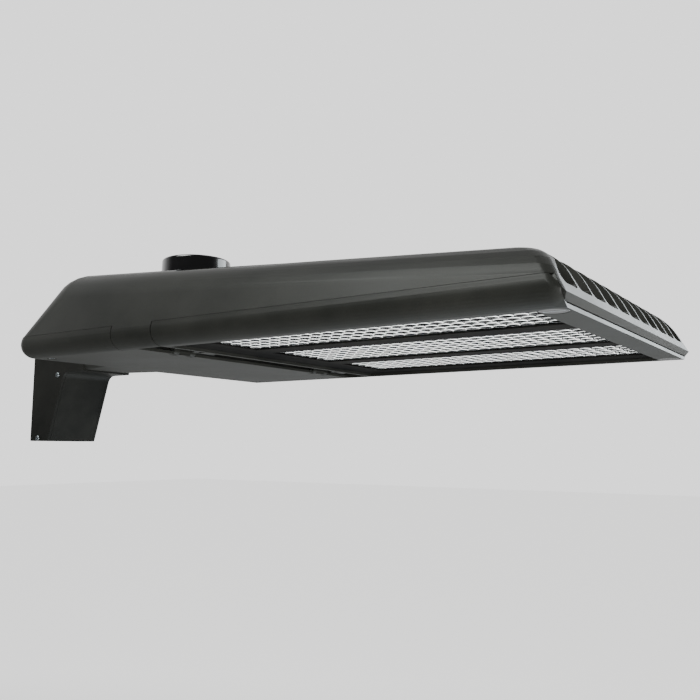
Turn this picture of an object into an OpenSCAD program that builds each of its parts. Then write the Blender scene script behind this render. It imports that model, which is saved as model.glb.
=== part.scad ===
/* [Head] */
// Pole face to the lower edge of the tip
reach = 811; // [780:1:900]
// Underside of the head above the middle of the pole bolts
under_z = 13; // [8:1:20]
// Length of the head
head_l = 609.5; // [580:0.5:660]
// Width of the head
head_w = 400; // [390:1:440]
// Height of the top over the lower edge of the tip
tip_h = 49.8; // [48:0.1:54]
// Fall of the top towards the tip, in degrees
top_fall = 4.66; // [3.5:0.01:5]
// Lean of the sides and of the pole end, in degrees
draft = 18.5; // [15:0.5:20]
// Radius of the lower edges
low_r = 15; // [13:0.5:16]
// Radius of the upper edges
top_r = 44.5; // [38:0.5:48]
// Radius of the nose
nose_r = 45; // [36:1:50]
// Lean of the nose, in degrees
nose_lean = 28; // [22:0.5:32]
// How far the nose stands out over the lower edge
nose_out = 3; // [2:0.1:4]
// Height of the foot of the nose
nose_foot_z = 4.2; // [3.8:0.1:5]
// Height at which the nose stands out most
nose_lip_z = 9.5; // [8:0.1:11]

/* [Walls] */
// Roof and walls of the driver bay
roof_t = 3.5; // [3:0.1:5]
// Side walls beside the fins
side_t = 10; // [8:0.5:12]
// Skirt inside the covers
skirt_t = 3; // [2.5:0.1:4]
// Plate that the light boards are screwed to
sink_t = 4; // [3.5:0.1:5]
// Underside of that plate over the underside of the head
sink_z = 13.8; // [13.4:0.1:15]
// Wall of the two covers
cover_t = 3; // [2.5:0.1:3.4]
// Gap between a cover's wall and the skirt inside it
cover_gap = 0.7; // [0.5:0.1:1]
// Gap along the seams
seam_gap = 1; // [0.8:0.1:1.4]
// Height of the seam along the sides
seam_z = 22; // [20:0.5:25]

/* [Fins] */
// Number of fins
fin_n = 10; // [8:1:12]
// Distance between fins
fin_pitch = 34; // [30:0.5:35]
// Thickness of a fin
fin_t = 3; // [2:0.1:4]
// Radius at the root of a fin
fin_root_r = 5; // [3:0.5:7]
// How far the open fin gaps reach into the rounding of the roof at each side
fin_open = 9; // [6:0.5:10]
// Lean of the bay wall behind the fins, in degrees
ramp_lean = 10; // [5:0.5:14]
// Gap between that wall's foot and the end of the optical frame
ramp_gap = 3; // [2:0.5:6]
// Wall between the fins and the driver bay, at the roof
ramp_wall = 4; // [3:0.5:6]
// Space kept for the slope of that wall
ramp_run = 40; // [30:1:60]

/* [Optical frame] */
// Length of the optical frame
frame_l = 394.5; // [380:0.5:400]
// Rim at the tip
tip_rim = 24.5; // [24:0.1:26]
// Rim at the hinge end
hinge_rim = 4; // [3.5:0.1:6]
// Rim along each side, from the edge of the head
side_rim = 21.4; // [20:0.1:24]
// Height of the wall at the hinge end
frame_wall_h = 10; // [8:0.1:11]
// Thickness of the dark trim between the lens rows
bezel_t = 1.2; // [1:0.1:1.5]
// Depth of the trim's face over the underside
bezel_z = 5.8; // [5:0.1:6.2]
// Width of the trim's sloped border
bezel_slope = 9; // [7:0.5:9.5]
// Width of the trim's flange over the rim
bezel_flange = 2; // [1.5:0.1:2.5]
// Radius of the trim's screws
bezel_screw_r = 1.2; // [1:0.1:1.3]
// Radius of the heads of those screws
bezel_head_r = 2.4; // [2:0.1:2.8]
// Height of the heads of those screws
bezel_head_h = 1.4; // [1:0.1:1.8]
// Length of those screws in the rim
bezel_screw_l = 1.6; // [1.2:0.1:2]
// Radius of the trim's screw tabs
bezel_tab_r = 3.2; // [2.8:0.1:3.4]
// Screws from the ends of the trim
bezel_screw_in = 40; // [30:1:60]
// Lap of the trim over the rim at the hinge end
bezel_lap = 0.8; // [0.5:0.1:1]

/* [Light engine] */
// Lenses along the head
lens_nx = 27; // [20:1:28]
// Rows of lenses in the middle group
mid_n = 7; // [5:2:7]
// Rows of lenses in an outer group
side_n = 6; // [4:1:6]
// Clear strip between two groups of lenses
group_gap = 28.3; // [27:0.1:30]
// Distance from the tip's lower edge to the first lenses
lens_start = 36; // [35:0.5:40]
// Distance from the last lenses to the end of the frame
lens_end = 26.4; // [24:0.1:32]
// Distance from the outer lenses to the side rims
lens_side = 11.125; // [9:0.125:16]
// Gap between two lenses at their roots
lens_gap = 1.1; // [0.6:0.1:2]
// How much smaller a lens's radius is at its face
lens_taper = 1.4; // [1:0.1:2]
// Height of a lens
lens_h = 2; // [1.5:0.1:2.2]
// Thickness of a lens plate
lens_plate_t = 1.5; // [1.2:0.1:1.7]
// Edge of a lens plate and its board outside the lenses
board_edge = 4.5; // [4:0.1:5]
// The same edge between two groups and at the outer sides
side_edge = 3.5; // [3:0.1:4]
// Clearance of the trim's windows round the lenses
window_gap = 0.5; // [0.3:0.05:1]
// Edge of the seal outside the lenses
seal_out = 1.7; // [1.4:0.1:2]
// Board screws from the side of their group
board_screw_in = 6; // [5:0.5:8]
// Board screws outside the middle of the edge strip
board_screw_out = 0.4; // [0.2:0.05:0.6]
// Thickness of a light board
board_t = 1.6; // [1.4:0.1:1.8]
// Thickness of the seal between board and lens plate
seal_t = 1.3; // [1.2:0.1:1.5]
// Width of that seal
seal_w = 1.6; // [1.2:0.1:1.8]
// Side of one light-emitting chip
chip_w = 3; // [2:0.1:3.5]
// Height of one light-emitting chip
chip_h = 0.8; // [0.5:0.1:1]
// Radius of the board screws
board_screw_r = 0.9; // [0.8:0.1:1]
// Radius of the heads of the board screws
board_head_r = 1.6; // [1.4:0.1:1.7]
// Height of the heads of the board screws
board_head_h = 1.2; // [1:0.1:1.4]
// Length of the board screws under the head
board_screw_l = 6; // [5.6:0.1:6.8]

/* [Hinges] */
// Height of both hinge axes over the underside
axis_z = 3.5; // [3.2:0.1:4]
// Frame's hinge axis from the end of the frame
frame_axis_in = 9.5; // [8.5:0.1:10]
// Width of the fixed hinge tabs between the two covers
tab_w = 56; // [50:0.5:60]
// Width of the groove between frame and door
groove_w = 35.5; // [34:0.5:38]
// Radius of the knuckles
knuckle_r = 3.5; // [3.3:0.1:3.7]
// Radius of the hinge pins
pin_r = 2; // [1.8:0.05:2.2]
// Running clearance of a knuckle on its pin
pin_run = 0.05; // [0.03:0.01:0.08]
// Clearance of a pin in its fixed lugs
pin_seat = 0.02; // [0.01:0.01:0.03]
// Width of a knuckle
knuckle_w = 14; // [10:1:20]
// Width of a fixed lug
lug_w = 8; // [6:1:12]
// Side play between knuckle and lug
knuckle_play = 0.3; // [0.2:0.05:0.5]
// Distance of the hinges from the sides of the head
hinge_side = 80; // [60:1:110]

/* [Driver bay] */
// Height of the web over the groove, over the underside of the head
web_z = 8; // [7.8:0.1:9]
// Thickness of that web
web_t = 4; // [3:0.5:6]
// Height of the land over the door's inner face
land_gap = 2; // [1.8:0.1:2.5]
// Width of the door seal
door_seal_w = 4; // [3:0.5:5]
// Gap left over the door seal
seal_play = 0.1; // [0.05:0.05:0.3]
// Door screws from the pole end
door_screw_in = 30; // [28:0.5:34]
// Door screws from the sides
door_screw_side = 26; // [24:0.5:30]
// Radius of the door screws
door_screw_r = 2.5; // [2:0.1:3]
// Radius of the heads of the door screws
door_head_r = 5; // [4.5:0.1:5.5]
// Height of the heads of the door screws
door_head_h = 1.6; // [1.4:0.1:1.8]
// Length of the door screws
door_screw_l = 12; // [10:0.5:16]
// Radius of the bosses for the door screws
door_boss_r = 7; // [6:0.5:8]
// Height of the bosses for the door screws
door_boss_h = 38; // [35:1:42]
// Recess of the heads of the door screws
door_head_in = 0.2; // [0.1:0.05:0.4]
// Room past the end of a screw
screw_room = 3; // [1:0.5:4]

/* [Driver tray] */
// Height of the tray's underside
tray_z = 66; // [64:0.5:68]
// Thickness of the tray
tray_t = 2; // [1.5:0.1:3]
// Tray from the sides of the head
tray_side = 55; // [50:1:60]
// Tray from the rear edge of the bay's mouth
tray_rear = 13; // [12:0.5:15]
// Tray from the front edge of the bay's mouth
tray_front = 8; // [7:0.5:10]
// Radius of the posts that carry the tray
post_r = 5; // [4.5:0.1:6]
// Posts from the tray's edge
post_in = 8; // [7:0.5:10]
// Radius of the tray screws
tray_screw_r = 2; // [1.8:0.1:2.5]
// Radius of the heads of the tray screws
tray_head_r = 4; // [3.6:0.1:4.4]
// Height of the heads of the tray screws
tray_head_h = 2.6; // [2:0.1:3.2]
// Length of the tray screws under the head
tray_screw_l = 9; // [7:0.5:11]
// Driver from the ends of the tray
driver_side = 27; // [22:1:45]
// Width of the driver as a share of the tray's depth
driver_share = 0.535; // [0.45:0.005:0.55]
// Height of the driver
driver_h = 37; // [30:0.5:38]
// Radius of the driver's long edges
driver_r = 3; // [1:0.5:5]
// Length of each mounting ear of the driver
ear_l = 11; // [9:0.5:13]
// Thickness of the mounting ears
ear_t = 2; // [1.5:0.1:3]
// Driver from the front edge of the tray
driver_in = 3; // [2:0.5:6]
// Length of the surge protector
surge_l = 56; // [40:1:60]
// Width of the surge protector as a share of the tray's depth
surge_share = 0.293; // [0.25:0.001:0.31]
// Height of the surge protector
surge_h = 30; // [24:0.5:34]
// Middle of the surge protector from the end of the tray
surge_in = 53; // [46:1:60]
// Middle of the terminal block from the other end of the tray
block_in = 67; // [52:1:75]
// Length of the terminal block
block_l = 66; // [50:1:70]
// Width of the terminal block as a share of the tray's depth
block_share = 0.207; // [0.17:0.001:0.24]
// Height of the terminal block
block_h = 20; // [16:0.5:24]
// Poles of the terminal block
block_n = 5; // [3:1:6]
// Radius of the holes in the terminal block
pole_hole = 3.6; // [3:0.1:4.5]
// Width of the cuts between its poles
block_cut = 1.2; // [1:0.1:2]
// Depth of the cuts between its poles
block_cut_h = 5; // [3:0.5:8]
// Middle of the small parts from the tray's rear edge
rear_row = 20; // [19:0.5:24]
// Height of the head of the ground screw
ground_head_h = 3.5; // [3:0.1:4.5]
// Radius of the head of the ground screw
ground_head_r = 5; // [4:0.1:6]
// How far screws stand out over the tray
tray_screw_out = 2; // [1:0.5:3]

/* [Latches] */
// Latches from the tip's lower edge
latch_in = 13.3; // [13:0.1:13.6]
// Latches from the sides of the head
latch_side = 26; // [25:0.5:36]
// Radius of the recess round a latch head
latch_recess_r = 11; // [10:0.1:11]
// Clearance round a latch head
latch_gap = 0.4; // [0.3:0.05:0.6]
// Height of a latch head
latch_head_h = 1.4; // [1.2:0.1:1.5]
// Depth of the recess
latch_recess_h = 1.6; // [1.5:0.1:1.8]
// Radius of a latch shaft
latch_r = 3; // [2.5:0.1:3.5]
// Radius of the boss round the shaft
latch_boss_r = 7.5; // [6.5:0.1:8]
// Height of the boss's top over the underside
latch_boss_z = 7.4; // [7:0.1:7.5]
// Underside of the latch cam
cam_z = 10.8; // [10.6:0.1:11]
// Thickness of the latch cam
cam_t = 2; // [1.5:0.1:2.2]
// Reach of the latch cam from the shaft's axis
cam_l = 8.6; // [8:0.1:9]
// Width of the latch cam
cam_w = 6.4; // [5.6:0.1:7]
// Width of the driving slot in the latch head
slot_w = 1.6; // [1.2:0.1:2]
// Depth of the driving slot
slot_h = 0.8; // [0.5:0.1:1]
// Length of the ledge that a cam turns over
ledge_w = 26; // [20:1:30]
// Thickness of the ledge
ledge_t = 2.6; // [2:0.1:2.8]
// Depth of the ledge
ledge_d = 5.6; // [5:0.1:6]
// Gap between a turned cam and its ledge
cam_gap = 0.3; // [0.2:0.05:0.4]

/* [Arm] */
// Half the width of the neck at the head
neck_half_w = 50; // [46:0.5:60]
// Half the width of the arm bracket
arm_half_w = 38.7; // [36:0.1:44]
// Length of the arm bracket as a share of the space between pole and head
arm_share = 0.531; // [0.5:0.001:0.56]
// Length of the neck's straight part as a share of that space
neck_share = 0.222; // [0.2:0.001:0.26]
// How far the neck runs into the head
neck_root = 22; // [18:1:26]
// Underside of the neck over the underside of the head
neck_z = 7; // [6.5:0.1:9]
// Top of the neck
neck_top_z = 60; // [56:0.5:64]
// Radius of the neck's long edges
neck_r = 8; // [4:0.5:12]
// Underside of the arm bracket
arm_z = 5; // [4:0.1:6]
// Top of the arm bracket
arm_top_z = 62; // [60:0.5:66]
// Wireway through neck and bracket, radius
wire_r = 14; // [12:0.5:15]
// Height of the wireway over the underside
wire_z = 33; // [31:0.5:35]
// How far the wireway runs into the head
wire_run = 30; // [26:1:34]
// Depth of the drop leg below the underside of the head
leg_z = 87.6; // [80:0.1:95]
// Front of the drop leg from the pole, at its top, as a share of the bracket's length
leg_top = 0.626; // [0.56:0.001:0.7]
// Front of the drop leg from the pole, at its foot, as a share of the bracket's length
leg_foot = 0.355; // [0.32:0.001:0.42]
// Pole plate of the bracket
plate_t = 8; // [6:0.5:10]
// Side walls of the bracket
arm_side_t = 4; // [3:0.5:5]
// Roof of the bracket
arm_roof_t = 5; // [4:0.5:6]
// End wall of the bracket
arm_end_t = 6; // [5:0.5:8]
// Radius of the bracket's upper edges
arm_edge_r = 6; // [4:0.5:8]
// Radius of the bracket's lower edges
foot_edge_r = 1.5; // [1:0.1:2.5]
// Step from the neck's wide part to the bracket, each side
neck_step = 1; // [0.5:0.1:2]
// Thickness of the bracket cover
lid_t = 2.5; // [2:0.1:3]
// Depth of the cover's side flanges
lid_flange = 13; // [12:0.5:16]
// Clearance round the cover
lid_gap = 0.3; // [0.2:0.05:0.4]
// Radius of the cover's inner bend
lid_r = 12; // [8:0.5:16]
// Distance between the two pole bolts
pole_pitch = 100; // [80:0.5:108]
// Radius of the pole bolt holes
pole_hole_r = 5.5; // [4.5:0.1:6.5]
// Radius of the wire entry in the pole plate
entry_r = 11; // [8:0.5:14]
// Radius of the cover screws
lid_screw_r = 2; // [1.5:0.1:2.2]
// Radius of the heads of the cover screws
lid_head_r = 3.6; // [3:0.1:4]
// Height of the heads of the cover screws
lid_head_h = 1.8; // [1.4:0.1:2.2]
// Upper cover screws behind the front of the drop leg
lid_screw_in = 13; // [11:0.5:15]
// Upper cover screws below the underside of the bracket
lid_screw_z = 3.4; // [3:0.1:4]
// Lower cover screws from the pole
lid_screw_x = 16.5; // [15:0.5:18]
// Lower cover screws over the foot of the drop leg
lid_foot_z = 4; // [3.6:0.1:5]
// Radius of the arm bolts
arm_bolt_r = 4; // [3:0.1:4.5]
// Radius of the heads of the arm bolts
arm_head_r = 6.5; // [6:0.1:7]
// Height of the heads of the arm bolts
arm_head_h = 8; // [6:0.5:9]
// Length of the arm bolts under the head
arm_bolt_l = 24; // [20:0.5:28]
// Arm bolts from the wireway's axis, across
arm_bolt_y = 24; // [22:0.5:26]
// Arm bolts from the wireway's axis, up
arm_bolt_z = 15; // [12:0.5:16]
// Depth of the socket in an arm bolt's head
arm_key_h = 4; // [3:0.5:5]
// Lip of the wire grommet
grommet_lip = 2; // [1.5:0.1:3]
// Wall of the wire grommet
grommet_t = 3; // [2:0.1:4]

/* [Light control] */
// Control socket from the pole end
socket_in = 70.5; // [66:0.5:76]
// Radius of the pad on the roof
pad_r = 42; // [40.5:0.5:44]
// Height of the pad's top over the roof, at its middle
pad_h = 5; // [4.5:0.1:6]
// Radius of the hole in the pad
pad_hole_r = 32; // [31.5:0.5:33]
// How far the pad runs down into the roof
pad_root = 16; // [14:1:18]
// Depth of the hole in the pad
pad_hole_d = 30; // [24:1:36]
// Radius of the socket's base ring
ring_r = 40; // [39:0.5:41]
// Thickness of the base ring
ring_t = 3; // [2.5:0.1:4]
// Radius of the ring's screws
ring_screw_r = 1.6; // [1.4:0.1:1.8]
// Radius of the heads of those screws
ring_head_r = 3; // [2.6:0.1:3.4]
// Height of the heads of those screws
ring_head_h = 1.6; // [1.2:0.1:2]
// Length of those screws in the pad
ring_screw_l = 8; // [6:0.5:10]
// Radius of the turning socket's neck
turret_neck_r = 28; // [26:0.5:29]
// Radius of the turning socket
turret_r = 37; // [35:0.5:38]
// Height of the turning socket over the base ring
turret_h = 6.5; // [6:0.5:8]
// How far the turning socket reaches down inside the pad
turret_in = 6; // [5:0.5:8]
// Play of a contact blade in its slot
blade_play = 0.4; // [0.2:0.05:0.6]
// The same at the ends of a slot, in degrees
slot_play = 3; // [2:0.5:4]
// Height of the gap under the cap
cap_seal_h = 2; // [1.5:0.1:2.5]
// Width of the cap's seal
cap_seal_w = 5; // [3:0.5:6]
// Radius of the cap
cap_r = 43.5; // [40:0.5:45]
// Height of the cap
cap_h = 28; // [22:0.5:34]
// Radius of the cap's upper edge
cap_edge_r = 3; // [2:0.5:6]
// Bevel at the foot of the cap
cap_bevel = 2; // [1:0.1:3]
// Lean of the cap's side over its height
cap_lean = 1; // [0:0.1:2]
// Turn of the cap to free it, in degrees
cap_turn = 35; // [25:1:40]
// Radius of the circle of contact blades
blade_ring_r = 17; // [15:0.5:19]
// Thickness of a contact blade
blade_t = 1.6; // [1.2:0.1:2]
// Width of a contact blade, in degrees
blade_arc = 34; // [25:1:36]
// Height of a contact blade
blade_h = 10; // [8:0.5:12]

/* [Hidden] */
$fn = 48;

eps = 0.01;
big = 1000;
// Cutters run this far past a face, and joined parts into each other
over = 1;
hull_fn = 32;
press = 0.02;
screw_play = 0.3;
seal_edge = 2;
seal_in = 0.5;
tab_lap = 0.5;
tongue_in = 1.5;
neck_gap = 1.5;
slot_share = 0.7;
seat_gap = 0.3;
rise = tan(top_fall);
low_x = head_l - low_r;
low_y = head_w / 2 - low_r;

// The upper edge's centre line lies this far inside the lower one's at height z
function inset_at(z) = (top_r - low_r + (z - low_r) * sin(draft)) / cos(draft);
function roof_z(x) = tip_h - x * rise;
function top_axis_z(x) = roof_z(x) - top_r / cos(top_fall);

end_in = (top_r - low_r + (tip_h + rise * low_x - top_r / cos(top_fall) - low_r) * sin(draft))
    / (cos(draft) + rise * sin(draft));

function unit(v) = v / norm(v);
function left_of(a, b) = let (u = unit(b - a)) [-u.y, u.x];

// Arc of radius r that rounds the corner b between a and c
function arc_at(a, b, c, r, n = 8) = let (
    u = unit(a - b),
    v = unit(c - b),
    half = acos(u * v) / 2,
    centre = b + unit(u + v) * r / sin(half),
    first = b + u * r / tan(half) - centre,
    last = b + v * r / tan(half) - centre,
    a0 = atan2(first.y, first.x),
    turn = (atan2(last.y, last.x) - a0 + 540) % 360 - 180)
    [for (i = [0:n]) centre + r * [cos(a0 + turn * i / n), sin(a0 + turn * i / n)]];

function flat2(p) = [p.x, p.y];

// Closed outline whose corners [x, y, r] are rounded by r
function rounded(pts, n = 8) = let (m = len(pts))
    [for (i = [0:m - 1]) each pts[i].z > 0
        ? arc_at(flat2(pts[(i + m - 1) % m]), flat2(pts[i]), flat2(pts[(i + 1) % m]), pts[i].z, n)
        : [flat2(pts[i])]];

// Open path moved sideways by d, with its corners kept
function shifted(p, d) = let (m = len(p) - 1)
    [for (i = [0:m])
        i == 0 ? p[0] + d * left_of(p[0], p[1])
        : i == m ? p[m] + d * left_of(p[m - 1], p[m])
        : let (a = left_of(p[i - 1], p[i]), b = left_of(p[i], p[i + 1])) p[i] + d * (a + b) / (1 + a * b)];

function reversed(p) = [for (i = [len(p) - 1:-1:0]) p[i]];

// The head's own frame: x = 0 at the tip's lower edge, z = 0 at the underside
module head() {
    translate([reach, 0, under_z]) children();
}

module box(x0, x1, y0, y1, z0, z1) {
    translate([x0, y0, z0]) cube([x1 - x0, y1 - y0, z1 - z0]);
}

// Outline in the x-z plane drawn out across the head
module across(w) {
    rotate([90, 0, 0]) linear_extrude(w, center = true) children();
}

// Outline in the y-z plane drawn out along x from x0 to x1
module along(x0, x1) {
    translate([x0, 0, 0]) rotate([90, 0, 90]) linear_extrude(x1 - x0) children();
}

// A round bar along y
module bar_y(x, z, r, y0, y1) {
    translate([x, y0, z]) rotate([-90, 0, 0]) cylinder(r = r, h = y1 - y0);
}

// A round bar along x
module bar_x(y, z, r, x0, x1) {
    translate([x0, y, z]) rotate([0, 90, 0]) cylinder(r = r, h = x1 - x0);
}

module bar_z(x, y, r, z0, z1) {
    translate([x, y, z0]) cylinder(r = r, h = z1 - z0);
}

// Upper part of a disc in the y-z plane, from where the leaning side touches it
module top_disc(r, fn) {
    along(-eps, 0) intersection() {
        circle(r = r, $fn = fn);
        translate([-r, r * sin(draft)]) square([2 * r, r]);
    }
}

module top_ball(r, fn) {
    intersection() {
        sphere(r = r, $fn = fn);
        translate([-r, -r, r * sin(draft)]) cube([2 * r, 2 * r, r]);
    }
}

// The head's outer form, or the form t inside it
module form(t = 0, fn = hull_fn) {
    tip_z = top_axis_z(nose_out);
    end_z = top_axis_z(end_in - low_x);
    hull() {
        for (s = [-1, 1]) {
            translate([nose_out, s * low_y, low_r]) rotate([0, -90, 0])
                cylinder(r = low_r - t, h = eps, $fn = fn);
            translate([nose_out, s * (low_y - inset_at(tip_z)), tip_z]) top_disc(top_r - t, fn);
            translate([-low_x, s * low_y, low_r]) sphere(r = low_r - t, $fn = fn);
            translate([end_in - low_x, s * (low_y - end_in), end_z]) top_ball(top_r - t, fn);
        }
        translate([-low_x, -low_y, t]) cube([low_x, 2 * low_y, eps]);
    }
}

function nose_line_x(z) = nose_out - tan(nose_lean) * (z - nose_lip_z);
function nose_line_z(x) = nose_lip_z + (nose_out - x) / tan(nose_lean);

nose_foot = [0, nose_foot_z];
nose_lip = [nose_out, nose_lip_z];
nose_top = let (k = tan(nose_lean), z = (tip_h - rise * (nose_out + k * nose_lip_z)) / (1 - rise * k))
    [nose_out - k * (z - nose_lip_z), z];
roof_end = [-head_l, roof_z(-head_l)];

// The head seen from the side, open at the pole end
module side_outline() {
    polygon(concat(
        [nose_foot, nose_lip],
        arc_at(nose_lip, nose_top, roof_end, nose_r, 14),
        [roof_end + [0, 20], [-head_l, nose_foot_z]]));
}

skirt_in = cover_t + cover_gap;
hinge_y = head_w / 2 - hinge_side;
latch_y = head_w / 2 - latch_side;
skirt_z = cover_t + land_gap;
shell_z = seam_z + seam_gap;
tab_x1 = -frame_l - seam_gap;
tab_x0 = tab_x1 - tab_w;
door_x = tab_x0 - seam_gap;
door_front = -frame_l - groove_w;
frame_axis = -frame_l - frame_axis_in;
door_axis = door_front - knuckle_r;
bay_front = door_axis - knuckle_r - door_seal_w - 2 * seal_in;
bay_rear = -low_x + seal_edge + door_seal_w;
bay_y = low_y - seal_edge - door_seal_w;
ramp_x = -frame_l + ramp_gap;
bay_wall_x = ramp_x - tan(ramp_lean) * (roof_z(-frame_l) - sink_z) - ramp_wall;
floor_z = sink_z + sink_t;
// The bay's upright walls leave the skirt its thickness where it is narrowest
room_out = (low_r - skirt_in - (shell_z + roof_t - low_r) * sin(draft)) / cos(draft) - skirt_t;
top_gap = roof_z(-head_l) + top_r;

// One gap between fins, in the y-z plane
module fin_gap_outline() {
    w = (fin_pitch - fin_t) / 2;
    for (s = [-1, 1]) translate([s * (w - fin_root_r), floor_z + fin_root_r]) circle(r = fin_root_r);
    translate([-(w - fin_root_r), floor_z]) square([2 * (w - fin_root_r), top_gap]);
    translate([-w, floor_z + fin_root_r]) square([2 * w, top_gap]);
}

module fin_gaps() {
    intersection() {
        along(-frame_l - ramp_run, nose_out + over) for (i = [0:fin_n])
            translate([(i - fin_n / 2) * fin_pitch, 0]) fin_gap_outline();
        across(head_w) polygon([[nose_out + over, floor_z - over], [ramp_x, floor_z - over],
            [ramp_x - tan(ramp_lean) * top_gap, floor_z - over + top_gap], [nose_out + over, floor_z + top_gap]]);
        union() {
            form(side_t, 24);
            open_y = low_y - inset_at(top_axis_z(0)) + fin_open;
            box(-frame_l - ramp_run, nose_out + over, -open_y, open_y, floor_z, top_gap);
        }
    }
}

module driver_bay() {
    translate([0, 0, web_z + web_t]) linear_extrude(shell_z + roof_t - web_z - web_t) polygon(rounded([
        [-low_x - room_out, -low_y - room_out, room_out], [bay_wall_x, -low_y - room_out, over],
        [bay_wall_x, low_y + room_out, over], [-low_x - room_out, low_y + room_out, room_out]]));
    intersection() {
        form(roof_t, 24);
        box(-head_l, bay_wall_x, -head_w, head_w, shell_z + roof_t - eps, top_gap);
    }
    box(bay_rear, bay_front, -bay_y, bay_y, 0, shell_z);
}

arm_l = (reach - head_l) * arm_share;
neck_l = (reach - head_l) * neck_share;
neck_x = -reach + arm_l;
leg_top_x = arm_l * leg_top;
leg_foot_x = arm_l * leg_foot;

module neck_outline(half_w, z0, z1) {
    polygon(rounded([[-half_w, z0, neck_r], [half_w, z0, neck_r], [half_w, z1, neck_r], [-half_w, z1, neck_r]]));
}

module neck() {
    along(-head_l - neck_l, -head_l + neck_root) neck_outline(neck_half_w, neck_z, neck_top_z);
    hull() {
        along(neck_x, neck_x + eps) neck_outline(arm_half_w - neck_step, neck_z, neck_top_z);
        along(-head_l - neck_l, -head_l - neck_l + eps) neck_outline(neck_half_w, neck_z, neck_top_z);
    }
}

module pin_lugs(axis_x) {
    for (s = [-1, 1], e = [-1, 1]) {
        y = s * hinge_y + e * (knuckle_w / 2 + knuckle_play + lug_w / 2);
        bar_y(axis_x, axis_z, knuckle_r, y - lug_w / 2, y + lug_w / 2);
        box(axis_x - knuckle_r, axis_x + knuckle_r, y - lug_w / 2, y + lug_w / 2, axis_z, web_z + over);
    }
}

tray_x0 = bay_rear + tray_rear;
tray_x1 = bay_front - tray_front;
tray_w = head_w - 2 * tray_side;
post_x = [tray_x0 + post_in, tray_x1 - post_in];
post_y = tray_w / 2 - post_in;
socket_x = -head_l + socket_in;
pad_z = roof_z(socket_x) + pad_h;
ring_screw_y = (pad_hole_r + ring_r) / 2;
door_screw_x = -head_l + door_screw_in;
door_screw_y = head_w / 2 - door_screw_side;
ledge_z = cam_z - cam_gap - ledge_t;

lens_dx = (frame_l - lens_start - lens_end) / lens_nx;
lens_dy = (head_w - 2 * (side_rim + lens_side + group_gap)) / (mid_n + 2 * side_n);
lens_r = (lens_dx - lens_gap) / 2;
group_y = [-1, 0, 1] * ((mid_n + side_n) * lens_dy / 2 + group_gap);
group_rows = [side_n, mid_n, side_n];
lens_x0 = -lens_start - lens_nx * lens_dx;
board_z = sink_z - board_t;
plate_z = board_z - seal_t - lens_plate_t;

// Screw places round light group g, in the middle of the edge strip
function board_screw_spots(g) = let (w = group_rows[g] * lens_dy / 2)
    [for (e = [-lens_start + board_edge / 2 + board_screw_out, lens_x0 - board_edge / 2 - board_screw_out],
        s = [-1, 0, 1]) [e, group_y[g] + s * (w - board_screw_in)]];

module housing() color([0.11, 0.115, 0.11]) head() {
    difference() {
        union() {
            difference() {
                union() {
                    // Upper shell, and the fixed hinge tabs that reach down between the covers
                    intersection() {
                        form(0);
                        union() {
                            intersection() {
                                across(head_w + over) side_outline();
                                box(-head_l - over, nose_out + over, -head_w, head_w, shell_z, top_gap);
                            }
                            for (s = [-1, 1])
                                translate([0, s * (low_y - tab_lap + low_r), 0])
                                    box(tab_x0, tab_x1, -low_r, low_r, -over, shell_z + over);
                        }
                    }
                    // Skirt inside the covers, light-board plate, foot of the nose and web over the groove
                    intersection() {
                        form(skirt_in);
                        across(head_w + over) side_outline();
                        union() {
                            box(-frame_l, nose_out + over, -head_w, head_w, sink_z, shell_z + over);
                            box(bay_front - eps, tab_x1, -head_w, head_w, web_z, shell_z + over);
                            box(-nose_out, nose_out + over, -head_w, head_w, 0, shell_z + over);
                            box(-head_l, bay_front + over, -head_w, head_w, skirt_z, shell_z + over);
                        }
                    }
                    neck();
                    bar_z(socket_x, 0, pad_r, pad_z - pad_root, pad_z);
                }
                fin_gaps();
                driver_bay();
            }
            pin_lugs(frame_axis);
            pin_lugs(door_axis);
            // Ledges that the latch cams turn over
            for (s = [-1, 1])
                box(-nose_out - ledge_d, -nose_out + eps, s * latch_y - ledge_w / 2, s * latch_y + ledge_w / 2,
                    ledge_z, ledge_z + ledge_t);
            for (s = [-1, 1])
                bar_z(door_screw_x, s * door_screw_y, door_boss_r, skirt_z, skirt_z + door_boss_h);
            for (x = post_x, s = [-1, 1])
                bar_z(x, s * post_y, post_r, tray_z + tray_t, roof_z(x) - roof_t + over);
        }
        for (a = [frame_axis, door_axis]) bar_y(a, axis_z, pin_r + pin_seat, -hinge_y * 1.5, hinge_y * 1.5);
        bar_x(0, wire_z, wire_r, neck_x - over, -head_l + wire_run);
        for (e = [-1, 1], f = [-1, 1])
            bar_x(e * arm_bolt_y, wire_z + f * arm_bolt_z, arm_bolt_r + press, neck_x - over, neck_x + arm_bolt_l);
        bar_z(socket_x, 0, pad_hole_r, pad_z - pad_hole_d, pad_z + over);
        for (s = [-1, 1])
            bar_z(socket_x, s * ring_screw_y, ring_screw_r + press, pad_z - ring_screw_l - screw_room,
                pad_z + over);
        for (s = [-1, 1])
            bar_z(door_screw_x, s * door_screw_y, door_screw_r + press, skirt_z - over, door_screw_l + screw_room);
        for (x = post_x, s = [-1, 1])
            bar_z(x, s * post_y, tray_screw_r + press, tray_z, tray_z + tray_screw_l + over);
        for (g = [0:2], p = board_screw_spots(g))
            bar_z(p.x, p.y, board_screw_r + press, sink_z - over, plate_z + board_screw_l + screw_play);
    }
}

// Room inside the covers: the walls stay upright above the lower edge, so that a cover drops off its skirt
module cover_room() {
    x0 = cover_t - head_l;
    y0 = head_w / 2 - cover_t;
    r = low_r - cover_t;
    form(cover_t);
    translate([0, 0, low_r]) linear_extrude(seam_z) polygon(rounded([
        [x0, -y0, r], [nose_out, -y0, 0], [nose_out, y0, 0], [x0, y0, r]]));
}

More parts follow.
